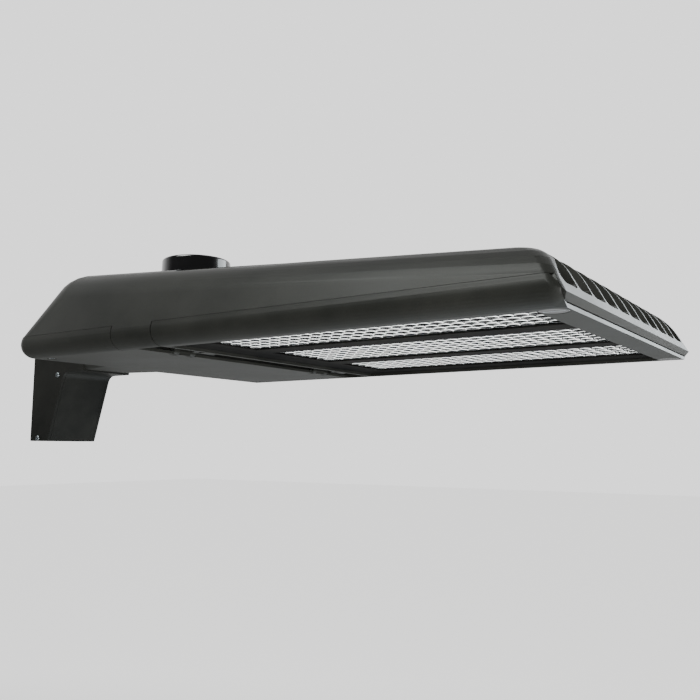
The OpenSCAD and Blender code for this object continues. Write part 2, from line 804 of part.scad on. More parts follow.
module optical_frame() color([0.26, 0.275, 0.285]) head() {
    difference() {
        union() {
            difference() {
                intersection() {
                    form(0);
                    across(2 * head_w) polygon([[-frame_l, 0], [0, 0], [0, nose_line_z(0)],
                        [nose_line_x(seam_z), seam_z], [-frame_l, seam_z]]);
                }
                difference() {
                    cover_room();
                    box(-frame_l - over, -frame_l + cover_t, -head_w, head_w, -over, frame_wall_h);
                }
                box(-frame_l + hinge_rim, -tip_rim, side_rim - head_w / 2, head_w / 2 - side_rim, -over,
                    cover_t + over);
            }
            for (s = [-1, 1]) {
                y = s * hinge_y;
                bar_y(frame_axis, axis_z, knuckle_r, y - knuckle_w / 2, y + knuckle_w / 2);
                box(frame_axis, -frame_l + eps, y - knuckle_w / 2, y + knuckle_w / 2, 0, axis_z + knuckle_r);
                bar_z(-latch_in, s * latch_y, latch_boss_r, cover_t - eps, latch_boss_z);
            }
        }
        bar_y(frame_axis, axis_z, pin_r + pin_run, -hinge_y * 1.5, hinge_y * 1.5);
        for (s = [-1, 1]) {
            bar_z(-latch_in, s * latch_y, latch_recess_r, -over, latch_recess_h);
            bar_z(-latch_in, s * latch_y, latch_r + pin_run, -over, latch_boss_z + over);
        }
        for (p = bezel_screw_spots) bar_z(p.x, p.y, bezel_screw_r + press, cover_t - bezel_screw_l - press, cover_t + over);
    }
}

module driver_door() color([0.29, 0.32, 0.33]) head() {
    difference() {
        union() {
            difference() {
                intersection() {
                    form(0);
                    union() {
                        box(-head_l - over, door_x, -head_w, head_w, 0, seam_z);
                        box(-head_l, door_front - seat_gap, -low_y + tongue_in, low_y - tongue_in, 0, cover_t);
                    }
                }
                cover_room();
                // Room for the neck at the pole end
                box(-head_l - over, -low_x + low_r / 2, -neck_half_w - neck_gap, neck_half_w + neck_gap,
                    neck_z - neck_gap, seam_z + over);
            }
            for (s = [-1, 1]) {
                y = s * hinge_y;
                bar_y(door_axis, axis_z, knuckle_r, y - knuckle_w / 2, y + knuckle_w / 2);
            }
        }
        // The plate stays clear of the fixed lugs
        for (s = [-1, 1], e = [-1, 1]) {
            y = s * hinge_y + e * (knuckle_w / 2 + knuckle_play + lug_w / 2);
            box(door_axis - knuckle_r - over, door_front + over, y - lug_w / 2 - knuckle_play,
                y + lug_w / 2 + knuckle_play, -over, cover_t + over);
        }
        bar_y(door_axis, axis_z, pin_r + pin_run, -hinge_y * 1.5, hinge_y * 1.5);
        for (s = [-1, 1]) {
            bar_z(door_screw_x, s * door_screw_y, door_head_r + screw_play, -over, door_head_h + door_head_in);
            bar_z(door_screw_x, s * door_screw_y, door_screw_r + press, -over, cover_t + over);
        }
    }
}

win_x0 = lens_x0 - window_gap;
win_x1 = -lens_start + window_gap;
bezel_out = [-frame_l + hinge_rim, -tip_rim];
bezel_y = head_w / 2 - side_rim;
bezel_screw_x = [bezel_out.x + bezel_screw_in, (bezel_out.x + bezel_out.y) / 2, bezel_out.y - bezel_screw_in];
bezel_screw_spots = [for (x = bezel_screw_x, s = [-1, 1]) [x, s * (bezel_y + bezel_tab_r)]];

// Tapered tray of the trim, d outside its inner face
module bezel_cup(d) {
    hull() {
        box(bezel_out.x - d, bezel_out.y + d, -bezel_y - d, bezel_y + d, cover_t - d, cover_t - d + eps);
        box(bezel_out.x + bezel_slope - d, bezel_out.y - bezel_slope + d, -bezel_y + bezel_slope - d,
            bezel_y - bezel_slope + d, bezel_z + d, bezel_z + d + eps);
    }
}

module lens_bezel() color([0.13, 0.13, 0.13]) head() {
    difference() {
        union() {
            intersection() {
                bezel_cup(bezel_t);
                box(-big, big, -big, big, cover_t, big);
            }
            box(bezel_out.x - bezel_lap, bezel_out.y + bezel_flange, -bezel_y - bezel_flange, bezel_y + bezel_flange,
                cover_t, cover_t + bezel_t);
            for (p = bezel_screw_spots)
                bar_z(p.x, p.y, bezel_tab_r, cover_t, cover_t + bezel_t);
        }
        bezel_cup(0);
        for (g = [0:2]) {
            w = group_rows[g] * lens_dy / 2 + window_gap;
            box(win_x0, win_x1, group_y[g] - w, group_y[g] + w, 0, sink_z);
        }
        for (p = bezel_screw_spots) bar_z(p.x, p.y, bezel_screw_r + press, 0, sink_z);
    }
}

module bezel_screws() color([0.5, 0.5, 0.5]) head() {
    for (p = bezel_screw_spots) {
        bar_z(p.x, p.y, bezel_screw_r, cover_t - bezel_screw_l, cover_t + bezel_t + eps);
        bar_z(p.x, p.y, bezel_head_r, cover_t + bezel_t, cover_t + bezel_t + bezel_head_h);
    }
}

// Plate of light group g, with edge e outside its lenses
module group_plate(g, e, z0, z1) {
    w = group_rows[g] * lens_dy / 2;
    box(lens_x0 - e, -lens_start + e, group_y[g] - w - min(e, side_edge), group_y[g] + w + min(e, side_edge), z0, z1);
}

// Every lens place of group g
module at_lenses(g) {
    for (i = [0:lens_nx - 1], j = [0:group_rows[g] - 1])
        translate([lens_x0 + (i + 0.5) * lens_dx, group_y[g] + (j - (group_rows[g] - 1) / 2) * lens_dy, 0])
            children();
}

module led_board(g) {
    color([0.85, 0.85, 0.82]) head() difference() {
        union() {
            group_plate(g, board_edge, board_z, sink_z);
            at_lenses(g) translate([-chip_w / 2, -chip_w / 2, board_z - chip_h]) cube([chip_w, chip_w, chip_h + eps]);
        }
        for (p = board_screw_spots(g)) bar_z(p.x, p.y, board_screw_r + press, 0, sink_z + over);
    }
}

module lens_seal(g) {
    color([0.75, 0.75, 0.75]) head() difference() {
        group_plate(g, seal_out, board_z - seal_t, board_z);
        group_plate(g, seal_out - seal_w, 0, sink_z);
    }
}

module optic(g) {
    color([0.9, 0.92, 0.94]) head() difference() {
        union() {
            group_plate(g, board_edge, plate_z, plate_z + lens_plate_t);
            at_lenses(g) translate([0, 0, plate_z - lens_h])
                cylinder(r1 = lens_r - lens_taper, r2 = lens_r, h = lens_h + eps, $fn = 24);
        }
        for (p = board_screw_spots(g)) bar_z(p.x, p.y, board_screw_r + press, 0, sink_z + over);
    }
}

module board_screws() color([0.6, 0.6, 0.6]) head() {
    for (g = [0:2], p = board_screw_spots(g)) {
        bar_z(p.x, p.y, board_screw_r, plate_z - eps, plate_z + board_screw_l);
        bar_z(p.x, p.y, board_head_r, plate_z - board_head_h, plate_z);
    }
}

module latch(s) {
    color([0.35, 0.36, 0.37]) head() translate([-latch_in, s * latch_y, 0]) difference() {
        union() {
            bar_z(0, 0, latch_recess_r - latch_gap, latch_recess_h - latch_head_h, latch_recess_h);
            bar_z(0, 0, latch_r, latch_recess_h - eps, cam_z + cam_t);
            intersection() {
                bar_z(0, 0, cam_l, cam_z, cam_z + cam_t);
                box(-cam_w / 2, cam_w / 2, s > 0 ? -big : -cam_w / 2, s > 0 ? cam_w / 2 : big, 0, big);
            }
        }
        box(-latch_recess_r * slot_share, latch_recess_r * slot_share, -slot_w / 2, slot_w / 2,
            -over, latch_recess_h - latch_head_h + slot_h);
    }
}

module hinge_pins(axis_x) {
    half = knuckle_w / 2 + knuckle_play + lug_w;
    color([0.7, 0.7, 0.72]) head() for (s = [-1, 1])
        bar_y(axis_x, axis_z, pin_r, s * hinge_y - half, s * hinge_y + half);
}

module door_seal() color([0.05, 0.05, 0.05]) head() {
    difference() {
        seal_outline(door_seal_w + seal_in);
        seal_outline(seal_in);
    }
}

module seal_outline(e) {
    translate([0, 0, cover_t + seal_play]) linear_extrude(land_gap - seal_play)
        polygon(rounded([[bay_rear - e, -bay_y - e, over + e], [bay_front + e, -bay_y - e, over + e],
            [bay_front + e, bay_y + e, over + e], [bay_rear - e, bay_y + e, over + e]]));
}

module door_screws() color([0.55, 0.55, 0.56]) head() for (s = [-1, 1]) translate([door_screw_x, s * door_screw_y, 0]) {
    difference() {
        bar_z(0, 0, door_head_r, door_head_in, door_head_in + door_head_h);
        translate([0, 0, -over]) cylinder(r = door_head_r / 2, h = door_head_in + door_head_h, $fn = 6);
    }
    bar_z(0, 0, door_screw_r, door_head_in + door_head_h - eps, door_screw_l);
}

tray_d = tray_x1 - tray_x0;
driver_l = tray_w - 2 * driver_side;
driver_w = tray_d * driver_share;
driver_x = tray_x1 - driver_in - driver_w / 2;
surge_w = tray_d * surge_share;
surge_y = tray_w / 2 - surge_in;
block_w = tray_d * block_share;
block_y = block_in - tray_w / 2;
ear_y = (driver_l - ear_l) / 2;
ear_w = driver_w * 2 / 3;
rear_x = tray_x0 + rear_row;

module driver_tray() color([0.75, 0.76, 0.77]) head() difference() {
    box(tray_x0, tray_x1, -tray_w / 2, tray_w / 2, tray_z, tray_z + tray_t);
    for (x = post_x, s = [-1, 1]) bar_z(x, s * post_y, tray_screw_r + press, tray_z - over, tray_z + tray_t + over);
    for (s = [-1, 1])
        bar_z(driver_x, s * ear_y, tray_screw_r + press, tray_z - over, tray_z + tray_t + over);
    bar_z(rear_x, 0, tray_screw_r + press, tray_z - over, tray_z + tray_t + over);
}

// Pan-head screw that stands up into a post or a tray
module tray_screw(x, y, z, l) {
    bar_z(x, y, tray_head_r, z - tray_head_h, z);
    bar_z(x, y, tray_screw_r, z - eps, z + l);
}

module tray_screws() color([0.6, 0.6, 0.6]) head()
    for (x = post_x, s = [-1, 1]) tray_screw(x, s * post_y, tray_z, tray_screw_l);

module led_driver() color([0.82, 0.82, 0.8]) head() translate([driver_x, 0, tray_z]) difference() {
    union() {
        rotate([90, 0, 0]) linear_extrude(driver_l - 2 * ear_l, center = true) polygon(rounded([
            [-driver_w / 2, -driver_h, driver_r], [driver_w / 2, -driver_h, driver_r],
            [driver_w / 2, 0, 0], [-driver_w / 2, 0, 0]]));
        box(-ear_w / 2, ear_w / 2, -driver_l / 2, driver_l / 2, -ear_t, 0);
    }
    for (s = [-1, 1]) bar_z(0, s * ear_y, tray_screw_r + press, -ear_t - over, over);
}

module driver_screws() color([0.6, 0.6, 0.6]) head()
    for (s = [-1, 1]) tray_screw(driver_x, s * ear_y, tray_z - ear_t, ear_t + tray_t + tray_screw_out);

module surge_protector() color([0.2, 0.2, 0.22]) head() translate([rear_x, surge_y, tray_z])
    rotate([90, 0, 0]) linear_extrude(surge_l, center = true) polygon(rounded([
        [-surge_w / 2, -surge_h, driver_r], [surge_w / 2, -surge_h, driver_r], [surge_w / 2, 0, 0], [-surge_w / 2, 0, 0]]));

module terminal_block() color([0.9, 0.88, 0.8]) head() translate([rear_x, block_y, tray_z]) difference() {
    box(-block_w / 2, block_w / 2, -block_l / 2, block_l / 2, -block_h, 0);
    step = block_l / block_n;
    for (i = [0:block_n - 1]) {
        y = (i - (block_n - 1) / 2) * step;
        bar_z(block_w / 4, y, pole_hole, -block_h - over, -block_h / 2);
        bar_x(y, -block_h / 2, pole_hole, -block_w, -block_w / 4);
        box(-block_w, block_w, y + step / 2 - block_cut / 2, y + step / 2 + block_cut / 2, -block_h - over,
            -block_h + block_cut_h);
    }
}

module ground_screw() color([0.2, 0.5, 0.25]) head() {
    translate([rear_x, 0, tray_z - ground_head_h]) cylinder(r = ground_head_r, h = ground_head_h, $fn = 6);
    bar_z(rear_x, 0, tray_screw_r, tray_z - eps, tray_z + tray_t + tray_screw_out);
}

// Bracket seen from the side: plate on the pole, drop leg and level arm
leg_path = [[neck_x, arm_z], [leg_top_x - reach, arm_z], [leg_foot_x - reach, -leg_z], [-reach, -leg_z]];
screw_spots = [[leg_top_x - reach - lid_screw_in, arm_z - lid_screw_z], [lid_screw_x - reach, lid_foot_z - leg_z]];

module bracket_outline() {
    polygon(concat(
        [[-reach, arm_top_z], [neck_x, arm_top_z], leg_path[0]],
        arc_at(leg_path[0], leg_path[1], leg_path[2], lid_r),
        [leg_path[2], leg_path[3]]));
}

// Strip from a to b inside the bracket's lower outline
module leg_strip(a, b) {
    outer = shifted(leg_path, -a);
    inner = shifted(leg_path, -b);
    polygon(concat([outer[0]], arc_at(outer[0], outer[1], outer[2], lid_r + a), [outer[2], outer[3]],
        [inner[3], inner[2]], reversed(arc_at(inner[0], inner[1], inner[2], lid_r + b)), [inner[0]]));
}

module arm_bracket() color([0.12, 0.13, 0.12]) head() difference() {
    intersection() {
        across(2 * arm_half_w) bracket_outline();
        along(-reach, neck_x) polygon(rounded([[-arm_half_w, -leg_z, foot_edge_r], [arm_half_w, -leg_z, foot_edge_r],
            [arm_half_w, arm_top_z, arm_edge_r], [-arm_half_w, arm_top_z, arm_edge_r]]));
    }
    across(2 * (arm_half_w - arm_side_t)) polygon([
        [plate_t - reach, -leg_z - over], [plate_t - reach, arm_top_z - arm_roof_t],
        [neck_x - arm_end_t, arm_top_z - arm_roof_t], [neck_x - arm_end_t, -leg_z - over]]);
    bar_x(0, -under_z, entry_r, -reach - over, plate_t - reach + over);
    for (s = [-1, 1]) bar_x(0, s * pole_pitch / 2 - under_z, pole_hole_r, -reach - over, plate_t - reach + over);
    bar_x(0, wire_z, wire_r, neck_x - arm_end_t - over, neck_x + over);
    for (e = [-1, 1], f = [-1, 1])
        bar_x(e * arm_bolt_y, wire_z + f * arm_bolt_z, arm_bolt_r + screw_play, neck_x - arm_end_t - over,
            neck_x + over);
    for (p = screw_spots) bar_y(p.x, p.y, lid_screw_r + press, -arm_half_w - over, arm_half_w + over);
}

module bracket_cover() color([0.14, 0.15, 0.14]) head() {
    w = arm_half_w - arm_side_t - lid_gap;
    difference() {
        intersection() {
            across(2 * w) leg_strip(0, lid_flange);
            box(plate_t - reach + lid_gap, neck_x - arm_end_t - lid_gap, -w, w, -leg_z, big);
        }
        across(2 * (w - lid_t)) leg_strip(lid_t, lid_flange + over);
        for (p = screw_spots) bar_y(p.x, p.y, lid_screw_r + press, -arm_half_w, arm_half_w);
    }
}

module cover_screws() color([0.4, 0.4, 0.4]) head() for (p = screw_spots, s = [-1, 1]) {
    y = arm_half_w - arm_side_t - lid_gap - lid_t - over;
    bar_y(p.x, p.y, lid_screw_r, s > 0 ? y : -arm_half_w - eps, s > 0 ? arm_half_w + eps : -y);
    bar_y(p.x, p.y, lid_head_r, s > 0 ? arm_half_w : -arm_half_w - lid_head_h,
        s > 0 ? arm_half_w + lid_head_h : -arm_half_w);
}

module arm_bolts() color([0.55, 0.55, 0.56]) head() for (e = [-1, 1], f = [-1, 1]) {
    x = neck_x - arm_end_t;
    translate([0, e * arm_bolt_y, wire_z + f * arm_bolt_z]) {
        bar_x(0, 0, arm_bolt_r, x - eps, x + arm_bolt_l);
        difference() {
            bar_x(0, 0, arm_head_r, x - arm_head_h, x);
            translate([x - arm_head_h - over, 0, 0]) rotate([0, 90, 0])
                cylinder(r = arm_head_r / 2, h = arm_key_h + over, $fn = 6);
        }
    }
}

module wire_grommet() color([0.04, 0.04, 0.04]) head() difference() {
    x = neck_x - arm_end_t;
    union() {
        bar_x(0, wire_z, wire_r - pin_run, x, neck_x + grommet_lip);
        bar_x(0, wire_z, wire_r + grommet_lip, x - grommet_lip, x);
    }
    bar_x(0, wire_z, wire_r - grommet_t, x - grommet_t, neck_x + grommet_t);
}

ring_z = pad_z + ring_t;
turret_z = ring_z + seat_gap;
cap_z = turret_z + turret_h + cap_seal_h;

module socket_ring() color([0.08, 0.08, 0.08]) head() translate([socket_x, 0, 0]) difference() {
    bar_z(0, 0, ring_r, pad_z, ring_z);
    bar_z(0, 0, turret_neck_r + pin_run, pad_z - over, ring_z + over);
    for (s = [-1, 1]) {
        bar_z(0, s * ring_screw_y, ring_screw_r + press, pad_z - over, ring_z + over);
        bar_z(0, s * ring_screw_y, ring_head_r + press, ring_z - ring_head_h, ring_z + over);
    }
}

module socket_screws() color([0.6, 0.6, 0.6]) head() for (s = [-1, 1])
    translate([socket_x, s * ring_screw_y, 0]) {
        bar_z(0, 0, ring_head_r, ring_z - ring_head_h, ring_z);
        bar_z(0, 0, ring_screw_r, pad_z - ring_screw_l, ring_z - ring_head_h + eps);
    }

// Part of a ring, from angle a0 over a degrees
module ring_part(r0, r1, a0, a, z0, z1) {
    translate([0, 0, z0]) rotate([0, 0, a0]) rotate_extrude(angle = a) translate([r0, 0]) square([r1 - r0, z1 - z0]);
}

module control_socket() color([0.1, 0.1, 0.1]) head() translate([socket_x, 0, 0]) difference() {
    union() {
        bar_z(0, 0, turret_r, turret_z, turret_z + turret_h);
        bar_z(0, 0, turret_neck_r, pad_z - turret_in, turret_z + eps);
        bar_z(0, 0, (turret_neck_r + pad_hole_r) / 2, pad_z - turret_in, pad_z - seat_gap);
    }
    for (k = [0:2]) ring_part(blade_ring_r - blade_t / 2 - blade_play, blade_ring_r + blade_t / 2 + blade_play,
        k * 120 - slot_play, blade_arc + cap_turn + 2 * slot_play, cap_z - blade_h - over, big);
}

module cap_seal() color([0.05, 0.05, 0.05]) head() translate([socket_x, 0, 0]) difference() {
    bar_z(0, 0, turret_r - over, turret_z + turret_h, cap_z - seat_gap);
    bar_z(0, 0, turret_r - over - cap_seal_w, 0, big);
}

module control_cap() color([0.02, 0.02, 0.02]) head() translate([socket_x, 0, cap_z]) {
    rotate_extrude($fn = 72) polygon(concat(
        [[0, 0], [cap_r - cap_bevel, 0], [cap_r, cap_bevel]],
        arc_at([cap_r, cap_bevel], [cap_r - cap_lean, cap_h], [0, cap_h], cap_edge_r),
        [[0, cap_h]]));
    for (k = [0:2]) ring_part(blade_ring_r - blade_t / 2, blade_ring_r + blade_t / 2, k * 120, blade_arc, -blade_h, eps);
}

housing();
optical_frame();
driver_door();
lens_bezel();
bezel_screws();
led_board(0);  // led_board_near
led_board(1);  // led_board_mid
led_board(2);  // led_board_far
lens_seal(0);  // lens_seal_near
lens_seal(1);  // lens_seal_mid
lens_seal(2);  // lens_seal_far
optic(0);  // optic_near
optic(1);  // optic_mid
optic(2);  // optic_far
board_screws();
latch(-1);  // latch_near
latch(1);  // latch_far
hinge_pins(frame_axis);  // frame_hinge_pins
hinge_pins(door_axis);  // door_hinge_pins
door_seal();
door_screws();
driver_tray();
tray_screws();
led_driver();
driver_screws();
surge_protector();
terminal_block();
ground_screw();
arm_bracket();
bracket_cover();
cover_screws();
arm_bolts();
wire_grommet();
socket_ring();
socket_screws();
control_socket();
cap_seal();
control_cap();
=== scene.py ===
import math
import bpy
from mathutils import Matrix, Quaternion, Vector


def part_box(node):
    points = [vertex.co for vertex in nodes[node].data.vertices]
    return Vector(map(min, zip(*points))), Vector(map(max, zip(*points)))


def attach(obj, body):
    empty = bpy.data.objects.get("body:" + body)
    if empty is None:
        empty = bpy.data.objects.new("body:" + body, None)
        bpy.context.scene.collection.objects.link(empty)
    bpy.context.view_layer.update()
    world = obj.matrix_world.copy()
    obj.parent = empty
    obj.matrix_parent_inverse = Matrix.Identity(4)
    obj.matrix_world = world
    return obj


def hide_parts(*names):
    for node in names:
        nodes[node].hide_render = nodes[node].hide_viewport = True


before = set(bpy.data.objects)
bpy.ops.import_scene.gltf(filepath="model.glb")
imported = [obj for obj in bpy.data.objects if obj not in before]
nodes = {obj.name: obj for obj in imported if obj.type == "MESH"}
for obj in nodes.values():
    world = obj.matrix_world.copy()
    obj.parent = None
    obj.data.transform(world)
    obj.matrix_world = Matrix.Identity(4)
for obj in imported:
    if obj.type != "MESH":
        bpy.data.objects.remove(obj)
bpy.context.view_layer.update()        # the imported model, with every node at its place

mm = 0.001
tip = Vector((0.811, 0.0, 0.013))    # lower edge of the tip, where the head is measured from
print("frame loaded:", len(nodes), "nodes")


# small helpers

# in metres: corners nearer to each other than this become one
weld = {"turned": 0.000002, "casting": 0.000005, "cut": 0.00001, "tip": 0.00002}


def linear(hexColour):
    # sRGB hex to the linear values that the shader wants, with nothing see-through
    parts = [int(hexColour[i:i + 2], 16) / 255 for i in (1, 3, 5)]
    return tuple(c / 12.92 if c <= 0.04045 else ((c + 0.055) / 1.055) ** 2.4 for c in parts) + (1.0,)


def onlySelect(*things):
    # an operator acts on all that is selected, so the rest is let go first
    if bpy.context.mode != "OBJECT":
        bpy.ops.object.mode_set(mode="OBJECT")
    bpy.ops.object.select_all(action="DESELECT")
    for thing in things:
        thing.select_set(True)
    bpy.context.view_layer.objects.active = things[-1]


def applyModifier(piece, kind, **settings):
    onlySelect(piece)
    modifier = piece.modifiers.new(kind.lower(), kind)
    for key, value in settings.items():
        setattr(modifier, key, value)
    bpy.ops.object.modifier_apply(modifier=modifier.name)


def pickFaces(piece, test):
    # in edit mode: selects the faces that pass the test on their centre and normal
    bpy.ops.object.mode_set(mode="OBJECT")
    for polygon in piece.data.polygons:
        polygon.select = bool(test(polygon.center, polygon.normal))
    for vertex in piece.data.vertices:
        vertex.select = False
    for edge in piece.data.edges:
        edge.select = False
    bpy.ops.object.mode_set(mode="EDIT")
    bpy.ops.mesh.select_mode(type="FACE")


def paintFaces(piece, material, test):
    # gives a second finish to the faces that pass the test
    if material.name not in piece.data.materials:
        piece.data.materials.append(material)
    index = piece.data.materials.find(material.name)
    for polygon in piece.data.polygons:
        if test(polygon.center, polygon.normal):
            polygon.material_index = index


def settle(piece, name, body, material, node, smooth):
    # puts the place into the mesh, names the piece, and hangs it on its body in its node's stead
    onlySelect(piece)
    bpy.ops.object.transform_apply(location=True, rotation=True, scale=True)
    piece.name = name
    piece.data.name = name
    if material is not None:
        piece.data.materials.clear()
        piece.data.materials.append(material)
    bpy.ops.object.shade_smooth_by_angle(angle=math.radians(smooth))
    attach(piece, body)
    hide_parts(node)


def joined(pieces):
    onlySelect(*pieces)
    if len(pieces) > 1:
        bpy.ops.object.join()
    return bpy.context.view_layer.objects.active


def copyTo(piece, place, turn=(0, 0, 0)):
    # a copy with its own mesh, turned first and then put at its place
    twin = bpy.data.objects.new(piece.name, piece.data.copy())
    bpy.context.scene.collection.objects.link(twin)
    twin.rotation_euler = turn
    twin.location = place
    onlySelect(twin)
    bpy.ops.object.transform_apply(location=True, rotation=True, scale=True)
    return twin


def islands(nodeName):
    # the lowest and highest corner of each loose part of a node, for setting one fastener at each
    mesh = nodes[nodeName].data
    spots = {}
    parent = {}
    def root(k):
        while parent[k] != k:
            parent[k] = parent[parent[k]]
            k = parent[k]
        return k
    for v in mesh.vertices:
        key = tuple(round(c, 6) for c in v.co)
        spots[v.index] = key
        parent.setdefault(key, key)
    for polygon in mesh.polygons:
        first = root(spots[polygon.vertices[0]])
        for index in polygon.vertices[1:]:
            parent[root(spots[index])] = first
    boxes = {}
    for key in parent:
        low, high = boxes.setdefault(root(key), (Vector(key), Vector(key)))
        for axis in range(3):
            low[axis] = min(low[axis], key[axis])
            high[axis] = max(high[axis], key[axis])
    return sorted(boxes.values(), key=lambda b: tuple(b[0]))


def lathe(profile, sides):
    # turns a profile of (radius, height) points in mm round the Z axis
    bpy.ops.object.select_all(action="DESELECT")
    bpy.ops.mesh.primitive_plane_add(size=0.001, location=(0, 0, 0))
    piece = bpy.context.object
    bpy.ops.object.mode_set(mode="EDIT")
    bpy.ops.mesh.select_mode(type="VERT")
    bpy.ops.mesh.select_all(action="SELECT")
    bpy.ops.mesh.merge(type="CENTER")
    bpy.ops.transform.translate(value=(profile[0][0] * mm, 0, profile[0][1] * mm))
    for before, after in zip(profile, profile[1:]):
        step = ((after[0] - before[0]) * mm, 0, (after[1] - before[1]) * mm)
        bpy.ops.mesh.extrude_region_move(TRANSFORM_OT_translate={"value": step})
    bpy.ops.mesh.select_all(action="SELECT")
    bpy.ops.mesh.spin(steps=sides, angle=2 * math.pi, center=(0, 0, 0), axis=(0, 0, 1))
    bpy.ops.mesh.select_all(action="SELECT")
    bpy.ops.mesh.remove_doubles(threshold=weld["turned"])
    bpy.ops.mesh.normals_make_consistent(inside=False)
    bpy.ops.object.mode_set(mode="OBJECT")
    return piece


screwSides = 24                             # a whole number of corners in each sixth of a circle
sixLobe = (1.0, 0.96, 0.74, 0.96)           # how far each corner of a sixth stands from the middle
hexSocket = (1.0, 0.8966, 0.866, 0.8966)    # the same for straight sides


def drawIn(piece, reach, above, shares):
    # draws the corners of a round recess in, by their turn within each sixth of a circle
    for place, share in enumerate(shares):
        if share == 1.0:
            continue
        bpy.ops.object.mode_set(mode="EDIT")
        bpy.ops.mesh.select_mode(type="VERT")
        bpy.ops.mesh.select_all(action="DESELECT")
        bpy.ops.object.mode_set(mode="OBJECT")
        for v in piece.data.vertices:
            step = round(math.atan2(v.co.y, v.co.x) / (2 * math.pi / screwSides)) % len(shares)
            v.select = step == place and v.co.z > above and 0 < Vector(v.co[:2]).length < reach
        bpy.ops.object.mode_set(mode="EDIT")
        bpy.ops.transform.resize(value=(share, share, 1), center_override=(0, 0, 0))
        bpy.ops.object.mode_set(mode="OBJECT")


def screwBlank(s):
    # head up at z = 0, then its rounding and the threaded shank; a six-lobe or a hex recess
    r, h = s["radius"], s["headHigh"]
    key = r * s["recess"]
    if s.get("hex"):
        profile = [(0, -h * s["deep"]), (key, -h * s["deep"]), (key * 1.02, 0), (r - 0.5, 0), (r, -0.5),
                   (r, -h), (s["shank"], -h)]
        shares = hexSocket
    else:
        profile = [(0, -h * s["deep"]), (key, -h * s["deep"]), (key * 1.03, -h * 0.05), (r * 0.74, -h * 0.16),
                   (r * 0.92, -h * 0.42), (r, -h * 0.78), (r, -h), (s["shank"], -h)]
        shares = sixLobe
    z = -h
    for i in range(int((s["length"] - h) / s["pitch"]) - 1):
        profile += [(s["shank"], z - s["pitch"] * 0.55), (s["shank"] * 0.86, z - s["pitch"] * 0.75),
                    (s["shank"], z - s["pitch"])]
        z -= s["pitch"]
    profile += [(s["shank"] * 0.8, -s["length"]), (0, -s["length"])]
    piece = lathe(profile, screwSides)
    drawIn(piece, key * 1.1 * mm, -h * mm, shares)
    return piece


def fasteners(node, s):
    # one blank, copied to each loose part of the node and turned the way its head faces: towards,
    # or to the near or the far side by where it sits
    ahead = Vector(s["towards"]) if s["towards"] else None
    pieces = []
    blanks = {}
    for low, high in islands(node):
        middle = (low + high) / 2
        out = ahead or Vector((0, 1 if middle.y > 0 else -1, 0))
        axis = max(range(3), key=lambda i: abs(out[i]))
        size = high - low
        across = [size[i] for i in range(3) if i != axis]
        blank = blanks.get(round(size[axis], 5))
        if blank is None:
            blank = screwBlank(dict(s, radius=min(across) / 2 / mm, length=size[axis] / mm))
            blanks[round(size[axis], 5)] = blank
        place = middle.copy()
        place[axis] = high[axis] if out[axis] > 0 else low[axis]
        turn = out.to_track_quat("Z", "Y").to_euler()
        pieces.append(copyTo(blank, place, turn))
    for blank in blanks.values():
        bpy.data.objects.remove(blank)
    settle(joined(pieces), s["name"], s["body"], s["material"], node, s["smoothDeg"])


# camera, floor and light, as in the photograph

camera = {"focal": 40.756, "place": (0.98589, -0.70517, -0.08275), "turnDeg": 34.132, "tiltDeg": 7.10,
          "rollDeg": 0.328}

def makeCamera(c):
    turn, tilt = math.radians(c["turnDeg"]), math.radians(c["tiltDeg"])
    ahead = Vector((-math.sin(turn) * math.cos(tilt), math.cos(turn) * math.cos(tilt), math.sin(tilt)))
    bpy.ops.object.camera_add(location=c["place"])
    eye = bpy.context.object
    eye.rotation_mode = "QUATERNION"
    eye.rotation_quaternion = ahead.to_track_quat("-Z", "Y") @ Quaternion((0, 0, 1),
                                                                          math.radians(c["rollDeg"]))
    eye.data.lens = c["focal"]
    eye.data.sensor_width = 36
    eye.data.clip_start = 0.01
    eye.data.clip_end = 60
    bpy.context.scene.camera = eye


makeCamera(camera)


def addNode(tree, kind, settings=None, links=None):
    # one node, with its values set and its inputs linked
    node = tree.nodes.new(kind)
    for key, value in (settings or {}).items():
        if isinstance(key, int) or key in node.inputs:
            node.inputs[key].default_value = value
        else:
            setattr(node, key, value)
    for key, source in (links or {}).items():
        tree.links.new(source, node.inputs[key])
    return node


def newMaterial(name):
    material = bpy.data.materials.new(name)
    material.use_nodes = True
    tree = material.node_tree
    tree.nodes.clear()
    shader = addNode(tree, "ShaderNodeBsdfPrincipled")
    out = addNode(tree, "ShaderNodeOutputMaterial")
    tree.links.new(shader.outputs["BSDF"], out.inputs["Surface"])
    place = addNode(tree, "ShaderNodeTexCoord")
    return material, tree, shader, place.outputs["Object"]


studio = {"floorMiddle": (0.4, 0, -1.7), "floorSize": 60, "floorColour": "#e6e6e4", "wallColour": "#ffffff",
          "lightWall": 1.6, "darkWall": 0.2, "lightWallTowards": (-0.45, 0.85, -0.05),
          "wallEdge": (-0.35, 0.45), "wallTop": (0.5, 0.75), "aboveWall": 0.2,
          "floorGlow": (1.2, 5.0), "floorGlowMost": 1.1}

